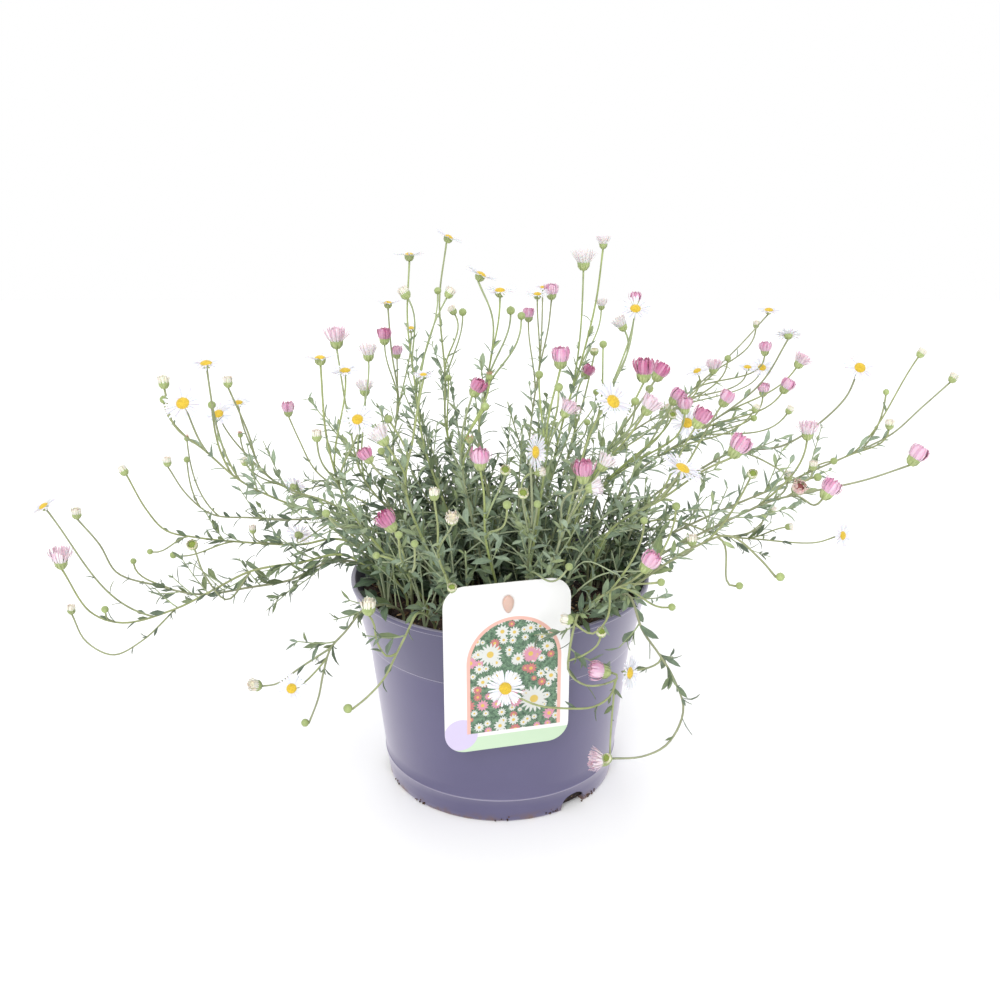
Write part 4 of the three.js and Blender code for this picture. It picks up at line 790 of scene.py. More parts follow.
# Leaves at sites along a stem: each leaves at a slant, turned round the stem by the golden angle,
# and is turned on until its blade is clear. What is clear at no turn is left out.
def addLeaves(skin, sites, along, lengths, formName, rng, paleness, slant=0.75, turn=0.0):
    count = len(sites)
    if not count:
        return
    form = leafForms[formName]
    side = unit(np.cross(along, np.array([0.13, 0.31, 0.94])))
    over = np.cross(along, side)
    first = turn + goldenAngle * np.arange(count) + rng.uniform(-0.5, 0.5, count)
    spin = first[:, None] + roundAngles(leafPlacing["tries"])
    out = turned(spin, side[:, None], over[:, None])
    lean = slant * rng.uniform(0.6, 1.4, count)[:, None, None]
    ahead = unit(along[:, None] * lean + out)
    reach = leafPlacing["reach"][None, None, :, None] * lengths[:, None, None, None]
    tests = sites[:, None, None] + ahead[:, :, None] * reach
    clear = (isClear(tests) & ~isBare(tests)).all(axis=-1)
    keep = clear.any(axis=1)
    ahead = ahead[np.arange(count), clear.argmax(axis=1)][keep]
    at, length = sites[keep], lengths[keep]
    number = len(at)
    if not number:
        return
    tints = leafTints
    shade = rng.uniform(0, 1, number)[:, None]
    # Painted light: leaves high up and far out from the pot are made paler, towards the pale green tint, on
    # top of the paleness given for young leaves
    paintedLight = riseFrom(at[:, 2], tints["paintedLightFrom"], tints["paintedLightSpan"]) + farAside(at) * tints["paintedLightAside"]
    paleness = np.clip(paleness + tints["paintedLight"] * np.minimum(paintedLight, 1), 0, 1)[:, None]
    warm = hueRng.uniform(0, 1, (number, 1)) ** 2
    deep, middle, paleGreen = (mix(*tints[key], warm) for key in ("deep", "middle", "paleGreen"))
    tint = mix(mix(deep, middle, shade), paleGreen, paleness)
    tint = tint * mix(tints["lowShade"], 1, riseFrom(at[:, 2:], tints["lowFrom"], tints["lowSpan"]))
    bend = rng.normal(leafPlacing["bend"], leafPlacing["bendSpread"], number)
    width = length * leafWidths[formName] * rng.uniform(0.8, 1.25, number)
    upper = along[keep] + np.array([0, 0, leafPlacing["faceUp"]])
    addBlades(skin, at, ahead, upper, length, width, bend, form, leafSlot,
              tint * tints["baseShade"], tint * tints["tipShade"])


# Flower heads

# Kinds of head. The middle is how far a head's centre lies beyond the end of its stalk. A row of
# rays gives the values named here: it starts on a circle of its radius, drop below the cup's edge,
# and its rays rise from the plane of that circle by lift and bend on towards the axis.
rayValues = ("count", "radius", "lift", "bend", "length", "width", "drop")
headForms = {
    "daisy": {"middle": 2.0, "cup": "low", "disc": 2.9, "discKind": "yellow", "rays": [
        (22, 2.5, 0.2, -0.25, 6.2, 0.5, 0.2), (20, 2.4, 0.34, -0.35, 6.0, 0.48, 0.1),
    ], "jitter": 0.08, "base": srgb(226, 226, 234), "tip": srgb(230, 228, 236)},
    "flat": {"middle": 2.9, "cup": "bowl", "disc": 2.7, "discKind": "yellow", "rays": [
        (20, 2.75, 0.14, 0, 6.2, 0.5, 0), (16, 2.6, 0.3, -0.2, 6.0, 0.48, 0),
    ], "jitter": 0.07, "base": srgb(228, 228, 234), "tip": srgb(232, 230, 238)},
    "pink": {"middle": 5.0, "cup": "bell", "disc": 0, "rays": [
        (25, 2.8, 0.78, 1.5, 6.3, 0.56, 0.5), (22, 2.45, 0.9, 1.4, 6.2, 0.54, 0.4),
        (16, 1.75, 1.06, 1.1, 5.8, 0.5, 0.2), (8, 0.8, 1.35, 0.4, 5.0, 0.44, 0.2),
    ], "jitter": 0.12, "base": srgb(234, 202, 218), "tip": srgb(196, 106, 156)},
    "magenta": {"middle": 5.0, "cup": "bell", "disc": 0, "rays": [
        (22, 2.75, 0.84, 1.25, 6.2, 0.55, 0.5), (18, 2.4, 1.0, 1.1, 6.0, 0.53, 0.4),
        (12, 1.7, 1.14, 0.9, 5.6, 0.5, 0.2), (6, 0.8, 1.35, 0.3, 5.0, 0.44, 0.2),
    ], "jitter": 0.13, "base": srgb(216, 158, 186), "tip": srgb(168, 60, 118)},
    "pale": {"middle": 5.0, "cup": "bell", "disc": 0, "rays": [
        (26, 2.8, 0.86, 0.5, 6.4, 0.42, 0.5), (22, 2.4, 1.02, 0.5, 6.2, 0.4, 0.4),
        (14, 1.5, 1.2, 0.4, 5.7, 0.38, 0.2),
    ], "jitter": 0.15, "base": srgb(236, 228, 232), "tip": srgb(224, 184, 204)},
    "cup": {"middle": 5.0, "cup": "bell", "disc": 2.4, "discKind": "yellow", "rays": [
        (25, 2.75, 0.92, 0.3, 6.0, 0.46, 0.4), (22, 2.4, 1.12, 0.3, 5.7, 0.42, 0.2),
    ], "jitter": 0.13, "base": srgb(232, 230, 228), "tip": srgb(231, 216, 226)},
    "fading": {"middle": 4.0, "cup": "bell", "disc": 2.0, "discKind": "wine", "rays": [
        (24, 2.7, 1.0, 1.5, 3.4, 0.44, 0.5), (20, 2.2, 1.15, 1.3, 3.2, 0.4, 0.3),
    ], "jitter": 0.14, "base": srgb(222, 206, 190), "tip": srgb(202, 150, 158)},
    "half": {"middle": 4.0, "cup": "bud", "disc": 2.2, "discKind": "cream", "rays": [
        (18, 2.35, 1.14, 0.8, 3.5, 0.42, 1.1), (13, 1.5, 1.2, 0.6, 3.0, 0.42, 0.4),
        (7, 0.6, 1.4, 0.2, 2.7, 0.4, 0.2),
    ], "jitter": 0.12, "base": srgb(230, 231, 208), "tip": srgb(233, 219, 216)},
    "green": {"middle": 3.0, "cup": "closed", "disc": 0, "grow": 1.14, "rays": []},
    "ring": {"middle": 3.0, "cup": "ring", "disc": 1.7, "discKind": "green", "rays": [
        (30, 2.3, 1.2, 1.0, 1.6, 0.3, 0.3), (24, 1.95, 1.3, 0.9, 1.3, 0.28, 0.2),
    ], "jitter": 0.1, "base": srgb(216, 214, 172), "tip": srgb(232, 226, 206)},
    "spent": {"middle": 3.0, "cup": "closed", "disc": 0, "rays": [
        (14, 1.3, 1.3, -0.4, 1.9, 0.22, 0.4),
    ], "jitter": 0.3, "base": srgb(188, 150, 120), "tip": srgb(178, 116, 92)},
}
discKinds = {
    "yellow": {"rise": 0.44, "bed": srgb(204, 172, 44), "bright": srgb(220, 196, 62)},
    "green": {"rise": 0.12, "bed": srgb(128, 146, 62), "bright": srgb(152, 168, 82)},
    "wine": {"rise": 0.3, "bed": srgb(150, 84, 84), "bright": srgb(172, 116, 96)},
    "cream": {"rise": 0.75, "bed": srgb(222, 216, 190), "bright": srgb(234, 228, 210)},
}
cups = {  # radii and heights of a head's green cup, from its stalk up, and how the bracts lie on it
    "low": {"radii": [0, 0.55, 1.35, 2.15, 2.65, 2.85, 2.9, 2.3, 0],
            "heights": [-0.5, 0, 0.4, 0.95, 1.6, 2.2, 2.7, 2.8, 2.7],
            "bracts": {"radius": 1.5, "bend": 1.15, "length": 2.9}},
    "bowl": {"radii": [0, 0.6, 1.5, 2.3, 2.75, 2.95, 3.0, 2.4, 0],
             "heights": [-0.5, 0, 0.45, 1.15, 2.0, 2.9, 3.6, 3.7, 3.6],
             "bracts": {"radius": 1.5, "bend": 1.15, "length": 3.5}},
    "bell": {"radii": [0, 0.55, 1.3, 2.15, 2.75, 3.0, 3.05, 2.3, 0],
             "heights": [-0.5, 0, 0.5, 1.25, 2.2, 3.2, 4.1, 4.2, 4.0],
             "bracts": {"radius": 1.42, "bend": 1.12, "length": 3.9}},
    "bud": {"radii": [0, 0.55, 1.4, 2.2, 2.65, 2.75, 2.5, 1.6, 0],
            "heights": [-0.5, 0, 0.45, 1.15, 2.1, 3.1, 3.9, 4.1, 4.1],
            "bracts": {"radius": 1.4, "bend": 1.4, "length": 3.8}},
    "closed": {"radii": [0, 0.5, 1.35, 2.05, 2.35, 2.25, 1.75, 0.9, 0],
               "heights": [-0.4, 0, 0.35, 0.95, 2.0, 2.9, 3.65, 4.15, 4.3],
               "bracts": {"radius": 1.2, "bend": 2.25, "length": 5.0}},
    "ring": {"radii": [0, 0.55, 1.4, 2.2, 2.6, 2.6, 2.3, 2.1, 0],
             "heights": [-0.5, 0, 0.45, 1.1, 2.0, 2.8, 3.4, 2.9, 2.6],
             "bracts": {"radius": 1.4, "bend": 1.35, "length": 3.2}},
}
bracts = {
    "count": 12, "height": 0.35, "lift": 0.62, "width": 0.56, "drop": 0, "jitter": 0.03,
    "low": srgb(150, 164, 102), "high": srgb(146, 162, 104), "edge": srgb(176, 186, 134),
}
rayForm = {
    "along": np.array([0, 0.25, 0.6, 0.9, 1]), "section": blade4, "thick": 0.16, "fold": 0.12,
    "outline": np.array([0.45, 0.85, 1, 0.86, 0.42]), "point": 0.01,
}
bractForm = {
    "along": np.array([0, 0.5, 1]), "section": blade4, "thick": 0.3,
    "outline": np.array([0.7, 1, 0.2]), "fold": 0, "point": 0.04,
}
discForm = {  # radii as parts of the disc's own, levels as parts of its rise
    "radii": np.array([0, 1, 0.97, 0.8, 0.5, 0.2, 0]),
    "levels": np.array([-0.3, -0.1, 0.15, 0.6, 0.88, 0.98, 1.0]),
    "florets": 44, "reach": 0.96, "splay": 0.5, "floretRadius": 0.1, "floretHeight": 0.11,
    "core": 0.35, "coreShade": 0.25,  # florets within the core are nearer to the bed's tint
}


# Blades round a head's axis: they start on a circle, rise from it by lift and bend to the axis
def addRound(skin, origin, axes, height, row, size, rng, jitter, form, slot, base, tip):
    across, over, axis = axes
    count = row["count"]
    angle = (np.arange(count) + rng.uniform(-0.3, 0.3, count)) * 2 * np.pi / count + rng.uniform(0, 6)
    radial = turned(angle, across, over)
    start = origin + (row["radius"] * radial + (height - row["drop"]) * axis) * size
    lift = row["lift"] + rng.normal(0, jitter, count)
    length = row["length"] * size * rng.uniform(0.88, 1.04, count)
    width = row["width"] * size * rng.uniform(0.9, 1.1, count)
    bend = row["bend"] + rng.normal(0, jitter * 1.5, count)
    addBlades(skin, start, turned(lift, radial, axis), turned(lift, axis, -radial), length, width, bend,
              form, slot, base, tip)


# A head: its green cup with ribs, a row of bracts round it, its rows of rays, and its disc
def addHead(skin, base, facing, kind, size, rng):
    form = headForms[kind]
    cup = cups[form["cup"]]
    size = size * form.get("grow", 1)
    across = unit(np.cross(facing, np.array([0.3, 1.0, 0.1])))
    axes = (across, np.cross(facing, across), facing)
    radii, heights = np.array(cup["radii"], float), np.array(cup["heights"], float)
    hue = rng.uniform(0.9, 1.08)
    part = np.clip(heights / heights.max(), 0, 1)[:, None]
    cupTint = mix(bracts["low"], bracts["high"], part) * hue
    addTurned(skin, base, axes, radii * size * 0.95, heights * size, stemSlot, cupTint,
              sides=14, ribs=7, ribDepth=0.025)
    addRound(skin, base, axes, bracts["height"], bracts | cup["bracts"], size, rng, bracts["jitter"],
             bractForm, stemSlot, bracts["low"] * hue, bracts["edge"] * hue)
    top = heights[-2]
    pale = rng.uniform(0, 1)
    for values in form["rays"]:
        row = dict(zip(rayValues, values))
        streak = rng.uniform(0, 1, (row["count"], 1)) ** 1.5
        tip = mix(form["tip"], form["base"], np.clip(0.3 * pale + streak * 0.8, 0, 0.85))
        root = mix(form["base"], form["tip"], (1 - streak) * 0.4)
        addRound(skin, base, axes, top, row, size, rng, form["jitter"], rayForm, petalSlot, root, tip)
    if form["disc"]:
        addDisc(skin, base, axes, top * size, form["disc"] * size, discKinds[form["discKind"]], rng)


# A disc: a low dome, with florets on it in a sunflower spiral
def addDisc(skin, base, axes, height, radius, kind, rng):
    across, over, axis = axes
    bed, bright = kind["bed"], kind["bright"]
    rise = radius * kind["rise"]
    form, count = discForm, discForm["florets"]
    addTurned(skin, base, axes, form["radii"] * radius, height + form["levels"] * rise, discSlot, bed)
    number = np.arange(count) + 0.5
    far = np.sqrt(number / count) * form["reach"]
    radial = turned(number * goldenAngle, across, over)
    lift = height + rise * (1 - far ** 2)
    centres = base + radial * (far * radius)[:, None] + lift[:, None] * axis
    normals = axis + radial * (far * form["splay"])[:, None]
    core = form["coreShade"] * (far[:, None] < form["core"])
    tint = mix(bright, bed, rng.uniform(0, 0.5, count)[:, None] + core)
    addStuds(skin, centres, normals, radius * form["floretRadius"], radius * form["floretHeight"],
             discSlot, tint)


# Flower stems

stems = {
    "mainBase": 0.8, "mainTip": 0.5, "stalkBase": 0.55, "stalkTip": 0.46, "step": 3.2,
    "green": srgb(142, 156, 114), "brown": srgb(124, 122, 97), "tip": srgb(152, 163, 129),
    "lime": srgb(155, 170, 97), "brownAside": 0.5, "neck": 1.12, "curve": 0.35,
    "firstNode": 16, "lastNode": 0.82,  # where the leaves start, and on what part of a stem they end
    "stalkFirst": 6, "stalkLast": 0.56,  # the same on a stalk
    "shootFirst": 18, "shootFrom": 0.1, "shootTo": 0.68, "shootGap": 16, "shootLength": 40,
    "shootBase": 0.42, "shootTip": 0.28,
    "bareSprays": {"rim_right": 3.0, "right_lower": 2.0, "hang_front": 1.6, "front_centre": 1.5,
                   "front_pink": 1.4, "hang_left": 1.5},  # how much wider the gaps between their leaves are
}
stemLeaves = {  # the leaves' paleness is 0 for deep green leaves and 1 for pale young ones, and lobedTo a part of the stem
    "main": {"gap": 8.8, "longest": 17, "shortest": 7.5, "lobedTo": 0.22, "paleness": 0.12},
    "stalk": {"gap": 11.5, "longest": 9.5, "shortest": 5, "lobedTo": 0, "paleness": 0.2},
    "shoot": {"gap": 5.5, "longest": 12, "shortest": 6.5, "lobedTo": 0.25, "paleness": 0.2},
    "runner": {"gap": 9, "longest": 12, "shortest": 7, "lobedTo": 0.3, "paleness": 0.1},
}
twinLeaves = {"share": 0.6, "pair": ((1.1, 0.62), (2.4, 0.48))}  # of nodes; each one's turn and scale
facings = {
    "up": (0, 0, 1), "leftUp": (-0.5, 0, 0.86), "rightUp": (0.5, 0, 0.86), "tiltRight": (0.42, -0.05, 0.9),
    "left": (-0.95, -0.1, 0.2), "right": (0.95, -0.15, 0.2), "rightOut": (0.86, -0.5, 0.15),
    "viewer": (0, -0.75, 0.66), "viewerUp": (0, -0.6, 0.8), "viewerOut": (0.64, -0.72, 0.25),
    "viewerLeft": (-0.55, -0.65, 0.5), "viewerRight": (0.45, -0.65, 0.6), "away": (0.1, 0.55, 0.82),
    "nod": (0, -0.18, 0.98), "nodLeft": (-0.4, -0.22, 0.88), "nodRight": (0.4, -0.24, 0.88),
    "backView": (0.2, 0.88, 0.42),
}


# The way of a spray's main stem and stalks, with the heads at their ends. A stalk leaves the main
# stem between its direction and the head's, and arrives from behind the head.
def laySpray(root, way, rows):
    heads = []
    for leaveAt, at, kind, face, size, *own in rows:
        facing = unit(np.array(facings[face], float))
        base = place(at) - facing * headForms[kind]["middle"] * size
        heads.append({"from": leaveAt, "kind": kind, "size": size, "facing": facing, "base": base,
                      "own": own[0] if own else None})
    top = soilSizes["top"]
    inSoil = [(*root, level) for level in (top - soilSizes["holeDepth"], top - 1, top + 7)]
    points = inSoil + [place(at) for at in way] + [heads[0]["base"]]
    dense = smoothWay(points)
    ways = [dense]
    for head in heads[1:]:
        index = int(round((head["from"] + len(inSoil) - 1) * waySteps))
        start = dense[index]
        run = unit(dense[min(index + 1, len(dense) - 1)] - dense[index - 1])
        if head["own"]:
            ways.append(smoothWay([start, *[place(at) for at in head["own"]], head["base"]]))
            continue
        toHead = head["base"] - start
        reach = np.linalg.norm(toHead) * stems["curve"]
        leave = start + unit(run + unit(toHead)) * reach
        ways.append(bezierWay(start, leave, head["base"] - head["facing"] * reach, head["base"]))
    return [spaced(way, stems["step"]) for way in ways], heads


# A stem, browner the farther out it lies and a little wider under its head
def addStem(skin, way, first, last, tints, rng):
    part = np.linspace(0, 1, len(way))
    radii = mix(first, last, part) * (1 + 0.03 * np.sin(np.arange(len(way)) * 1.7))
    radii[-2:] *= stems["neck"]
    tint = mix(tints[0], tints[1], part[:, None]) * rng.uniform(0.92, 1.08)
    tint = mix(tint, stems["lime"], hueRng.uniform(0.1, 0.9))
    tint = mix(tint, stems["brown"], farAside(way)[:, None] * stems["brownAside"])
    addTube(skin, way, radii, stemSlot, tint)


# Leaf places along a stem: even steps along it from one length to another
def leafPlaces(way, start, end, gap, rng):
    total = wayLength(way)
    at = np.arange(start, end, gap)
    at = np.clip(at + rng.uniform(-0.3, 0.3, len(at)) * gap, 0, total)
    lengths = lengthsAlong(way)
    along = unit(readAt(at, lengths, unit(np.gradient(way, axis=0))))
    return readAt(at, lengths, way), along, at / total


# Leaves at each node of a stem: one long one, and two short ones by it on most
def leafStem(skin, way, start, end, leaves, rng, lobed=True, wider=1):
    total = wayLength(way)
    sites, along, part = leafPlaces(way, start, end, leaves["gap"] * wider, rng)
    length = mix(leaves["longest"], leaves["shortest"], part * total / max(end, 1e-6))
    length = length * rng.uniform(0.7, 1.2, len(part))
    low = part < (leaves["lobedTo"] if lobed else 0)
    paleness = leaves["paleness"]
    addLeaves(skin, sites[low], along[low], length[low] * 1.05, "lobed", rng, paleness * 0.5, 1.0)
    addLeaves(skin, sites[~low], along[~low], length[~low], "lance", rng, paleness, 1.35)
    twin = rng.uniform(0, 1, len(part)) < twinLeaves["share"]
    for turn, scale in twinLeaves["pair"]:
        addLeaves(skin, sites[twin], along[twin], length[twin] * scale, "lance", rng, paleness + 0.2, 1.7, turn)


# Leafy side shoots of a stem: each leaves it at a slant and bends up
def addShoots(skin, way, start, end, rng):
    sites, along, part = leafPlaces(way, start, end, stems["shootGap"], rng)
    count = len(sites)
    out = unit(np.cross(along, rng.normal(0, 1, (count, 3))))
    ahead = unit(along * 1.1 + out + np.array([0, 0, 0.35]))
    length = stems["shootLength"] * rng.uniform(0.4, 1.0, count) * (1.1 - 0.5 * part)
    for site, direction, reach in zip(sites, ahead, length):
        lifted = unit(direction + np.array([0, 0, 0.5]))
        line = bezierWay(site, site + direction * reach * 0.4, site + (direction + lifted) * reach * 0.35,
                         site + (direction * 0.45 + lifted * 0.55) * reach, 12)
        if not isClear(line[3:]).all():
            continue
        line = spaced(line, 4)
        shade = mix(stems["green"], stems["tip"], rng.uniform())
        radii = np.linspace(stems["shootBase"], stems["shootTip"], len(line))
        addTube(skin, line, radii, stemSlot, shade, sides=5)
        overPot = np.hypot(site[0], site[1]) < 72
        leafStem(skin, line, 4, reach, stemLeaves["shoot"], rng, lobed=overPot)


def makeSpray(name, root, way, heads, seed):
    rng = np.random.default_rng(seed)
    skin = newSkin()
    ways, heads = laySpray(root, way, heads)
    wider = stems["bareSprays"].get(name, 1)
    for number, (way, head) in enumerate(zip(ways, heads)):
        total = wayLength(way)
        if number == 0:
            addStem(skin, way, stems["mainBase"], stems["mainTip"], (stems["brown"], stems["tip"]), rng)
            leafStem(skin, way, stems["firstNode"], total * stems["lastNode"], stemLeaves["main"], rng,
                     lobed=wider == 1, wider=wider)
            if wider < 2:
                first = max(stems["shootFirst"], total * stems["shootFrom"])
                addShoots(skin, way, first, total * stems["shootTo"], rng)
        else:
            addStem(skin, way, stems["stalkBase"], stems["stalkTip"], (stems["green"], stems["tip"]), rng)
            first = min(stems["stalkFirst"], total * 0.3)
            leafStem(skin, way, first, total * stems["stalkLast"], stemLeaves["stalk"], rng)
        addHead(skin, head["base"], head["facing"], head["kind"], head["size"], rng)
    makePiece("flowers_" + name, skin, plantSkins, ["spray_" + name])


for number, spray in enumerate(sprays):
    makeSpray(*spray, 100 + number)
print("flower stems made:", len(sprays))

# The mound of leaves: tufts of short leafy shoots round the feet of the flower stems

tufts = {
    "rows": [  # root, number of shoots, scale of the leaves, and share of tall shoots
        ((-2, 14), 23, 1, 0.46), ((-32, -14), 21, 1, 0.16), ((-44, 24), 20, 1, 0.14),
        ((-62, -32), 15, 0.9, 0.46), ((-40, -52), 4, 0.6, 0), ((-22, -68), 3, 0.55, 0),
        ((-8, 60), 22, 1, 0.56), ((-30, 34), 25, 1, 0.2), ((18, -14), 25, 1, 0.46),
        ((34, -36), 11, 0.85, 0.4), ((66, 4), 20, 1, 0.3), ((26, -66), 4, 0.6, 0),
    ],
    "spread": 13, "low": 14, "high": 60, "tall": 120, "tallTo": 58, "rimGap": 12, "lean": 0.36,
    "stemBase": 0.65, "stemTip": 0.36,
    "leafGap": 5.2, "firstLeaf": 9, "longest": 22, "shortest": 9, "lobedTo": 0.5,
    "runners": 4, "runnerReach": 80, "runnerBase": 0.55, "runnerTip": 0.34,
}


# Shoots start near the tuft's middle and lean outwards from the pot's axis, more at their tips
def layShoot(root, tallShare, rng):
    top = soilSizes["top"]
    foot = np.array(root) + rng.normal(0, 0.5, 2) * tufts["spread"]
    far = np.linalg.norm(foot)
    limit = potSizes["rimRadius"] - tufts["rimGap"]
    foot = foot * min(1, limit / max(far, 1e-6))
    tall = rng.uniform() < tallShare and far < tufts["tallTo"]
    least, most = (tufts["high"], tufts["tall"]) if tall else (tufts["low"], tufts["high"])
    height = rng.uniform(least, most)
    out = foot / 60 + rng.normal(0, 0.45, 2)
    lean = out * tufts["lean"] * height * rng.uniform(0.5, 1.2)
    bow = rng.normal(0, 0.05, 2) * height
    points = np.array([
        [*foot, top - 6], [*foot, top + 2], [*(foot + lean * 0.35 + bow), top + height * 0.5],
        [*(foot + lean), top + height],
    ])
    return spaced(smoothWay(points, 8), 4)


# A thin runner rises out of the tuft and lies over the mound
def addRunner(skin, root, rng):
    foot = np.array([*root, soilSizes["top"]], float)
    turn = rng.uniform(0, 2 * np.pi)
    reach = tufts["runnerReach"] * rng.uniform(0.5, 1.0)
    away = np.array([np.cos(turn), 0.6 * np.sin(turn), 0]) * reach
    rise = rng.uniform(34, 62)
    points = [foot, foot + away * 0.12 + [0, 0, rise * 0.5], foot + away * 0.5 + [0, 0, rise],
              foot + away + [0, 0, rise * rng.uniform(0.8, 1.15)]]
    way = spaced(smoothWay(points, 8), 4)
    if isClear(way[2:]).all():
        radii = np.linspace(tufts["runnerBase"], tufts["runnerTip"], len(way))
        addTube(skin, way, radii, stemSlot, stems["tip"])
        leafStem(skin, way, 18, wayLength(way), stemLeaves["runner"], rng)


def makeTuft(number, root, shoots, leafScale, tallShare):
    rng = np.random.default_rng(500 + number)
    skin = newSkin()
    for shoot in range(shoots):
        way = layShoot(root, tallShare, rng)
        above = way[way[:, 2] > soilSizes["top"] + 1]
        if not isClear(above).all() or isBare(above).any():
            continue
        part = np.linspace(0, 1, len(way))
        addTube(skin, way, mix(tufts["stemBase"], tufts["stemTip"], part), stemSlot,
                mix(stems["brown"], stems["green"], part[:, None]), sides=5)
        sites, along, part = leafPlaces(way, tufts["firstLeaf"], wayLength(way), tufts["leafGap"], rng)
        length = mix(tufts["longest"], tufts["shortest"], part)
        length = length * rng.uniform(0.7, 1.15, len(part)) * leafScale
        low = part < tufts["lobedTo"]
        addLeaves(skin, sites[low], along[low], length[low], "lobed", rng, 0.0)
        addLeaves(skin, sites[~low], along[~low], length[~low] * 0.95, "spoon", rng, 0.12, 1.0)
        addLeaves(skin, sites[~low], along[~low], length[~low] * 0.6, "lance", rng, 0.3, 1.4, 2.0)
    for runner in range(tufts["runners"]):
        addRunner(skin, root, rng)
    makePiece(f"leaves_{number + 1}", skin, plantSkins, [f"leaf_tuft_{number + 1}"])


for number, row in enumerate(tufts["rows"]):
    makeTuft(number, *row)
print("leaves made:", len(tufts["rows"]))

# Pot

# Painted highlights: the heights of the pot's sharp edges where pale hairlines go
paintedHighlightLines = [  # height, and half the width
    (potSizes["ridgeHeight"], 0.45), (89.1, 0.45), (119.9, 0.35), (122.4, 0.3),
]
# Tints of the pot: collar is the body's tint darkened as painted shade, and edge is a pale tint for painted
# highlights and a painted reflection
potTints = {
    "body": srgb(87, 83, 115), "collar": srgb(82, 79, 108), "stain": srgb(122, 92, 66),
    "edge": srgb(196, 190, 206),
}


# Painted highlights: pale hairlines at the heights of the pot's sharp edges, 1 on a line, 0 off it
def paintedHighlights(tree, height):
    lines = 0.0
    for level, width in paintedHighlightLines:
        off = calc(tree, "DIVIDE", calc(tree, "SUBTRACT", height, level * metre), width * metre)
        lines = calc(tree, "MAXIMUM", lines, calc(tree, "SUBTRACT", 1.0, calc(tree, "ABSOLUTE", off)))
    return lines


# Plastic of the pot: satin with a fine grain, and stains of soil low on the wall. Its collar is darker with
# painted shade, its sharp edges carry painted highlights, and its edges pale towards grazing angles as a
# painted reflection
def makePotPlastic():
    material, tree, shader = newMaterial("potPlastic", {"Specular IOR Level": 0.6})
    spot = objectPlace(tree)
    height = splitVector(tree, spot)[2]
    low = calc(tree, "SUBTRACT", 1.0, ramp(tree, height, 0.0005, 0.006))
    stain = calc(tree, "MULTIPLY", low, ramp(tree, noise(tree, spot, 75.0, 5.0, 0.7), 0.45, 0.6))
    body = mottled(tree, 24.0, 0.06, potTints["body"])
    # Painted shade: above the step the collar takes a darker tint, as if shaded by the foliage over it
    body = blendColors(tree, ramp(tree, height, 0.0885, 0.0895), body, potTints["collar"])
    # Painted highlights: pale hairlines on the sharp edges, blended half way to the pale edge tint
    line = ramp(tree, paintedHighlights(tree, height), 0.0, 1.0)
    body = blendColors(tree, calc(tree, "MULTIPLY", line, 0.5), body, potTints["edge"])
    # Painted reflection: the wall's colour turns to the pale edge tint towards grazing angles, where white
    # surroundings reflect
    paintedReflection = calc(tree, "POWER", addNode(tree, "ShaderNodeLayerWeight").outputs["Facing"], 3.2)
    body = blendColors(tree, ramp(tree, paintedReflection, 0.02, 0.9), body, potTints["edge"])
    paint(tree, shader, blendColors(tree, calc(tree, "MULTIPLY", stain, 0.8), body, potTints["stain"]))
    tree.links.new(calc(tree, "MULTIPLY_ADD", stain, 0.4, 0.42), shader.inputs["Roughness"])
    setBump(tree, shader, useGroup(tree, grain, Scale=1500.0)["Height"], 0.12, 0.0002)
    return material


# A cutter for a notch: its outline, wide at the foot and rounded at the top, pushed inwards
def makeCutter(angle, rng):
    part = np.linspace(0, np.pi, 25)
    half, rise = potSizes["notchWidth"] / 2, potSizes["notchHeight"]
    flat = np.sign(np.cos(part)) * np.abs(np.cos(part)) ** 0.75 * half
    up = np.abs(np.sin(part)) ** 0.7 * rise
    ragged = np.cos(part) > 0.15
    up = up - ragged * rng.uniform(0, 0.9, len(part)) * np.sin(part)
    outline = np.array([[half, -1], *np.stack([flat, up], axis=1), [-half, -1]])
    out = np.array([np.cos(angle), np.sin(angle), 0])
    across = np.array([-out[1], out[0], 0])
    rings = [outline[:, :1] * across + outline[:, 1:] * np.array([0, 0, 1]) + out * far
             for far in (potSizes["baseRadius"] + 6, potSizes["baseRadius"] - 9)]
    count = len(outline)
    here = np.arange(count)
    after = (here + 1) % count
    faces = [*np.stack([here, here + count, after + count, after], axis=1).tolist(),
             here.tolist(), (here + count)[::-1].tolist()]
    mesh = bpy.data.meshes.new("cutter")
    mesh.from_pydata((np.concatenate(rings) * metre).tolist(), [], faces)
    return newObject("cutter", mesh)


def carve(piece, cutter):
    modifier = piece.modifiers.new("notch", "BOOLEAN")
    modifier.operation = "DIFFERENCE"
    modifier.solver = "EXACT"
    modifier.object = cutter
    carved = bpy.data.meshes.new_from_object(piece.evaluated_get(bpy.context.evaluated_depsgraph_get()))
    piece.modifiers.clear()
    piece.data = carved
    bpy.data.objects.remove(cutter)


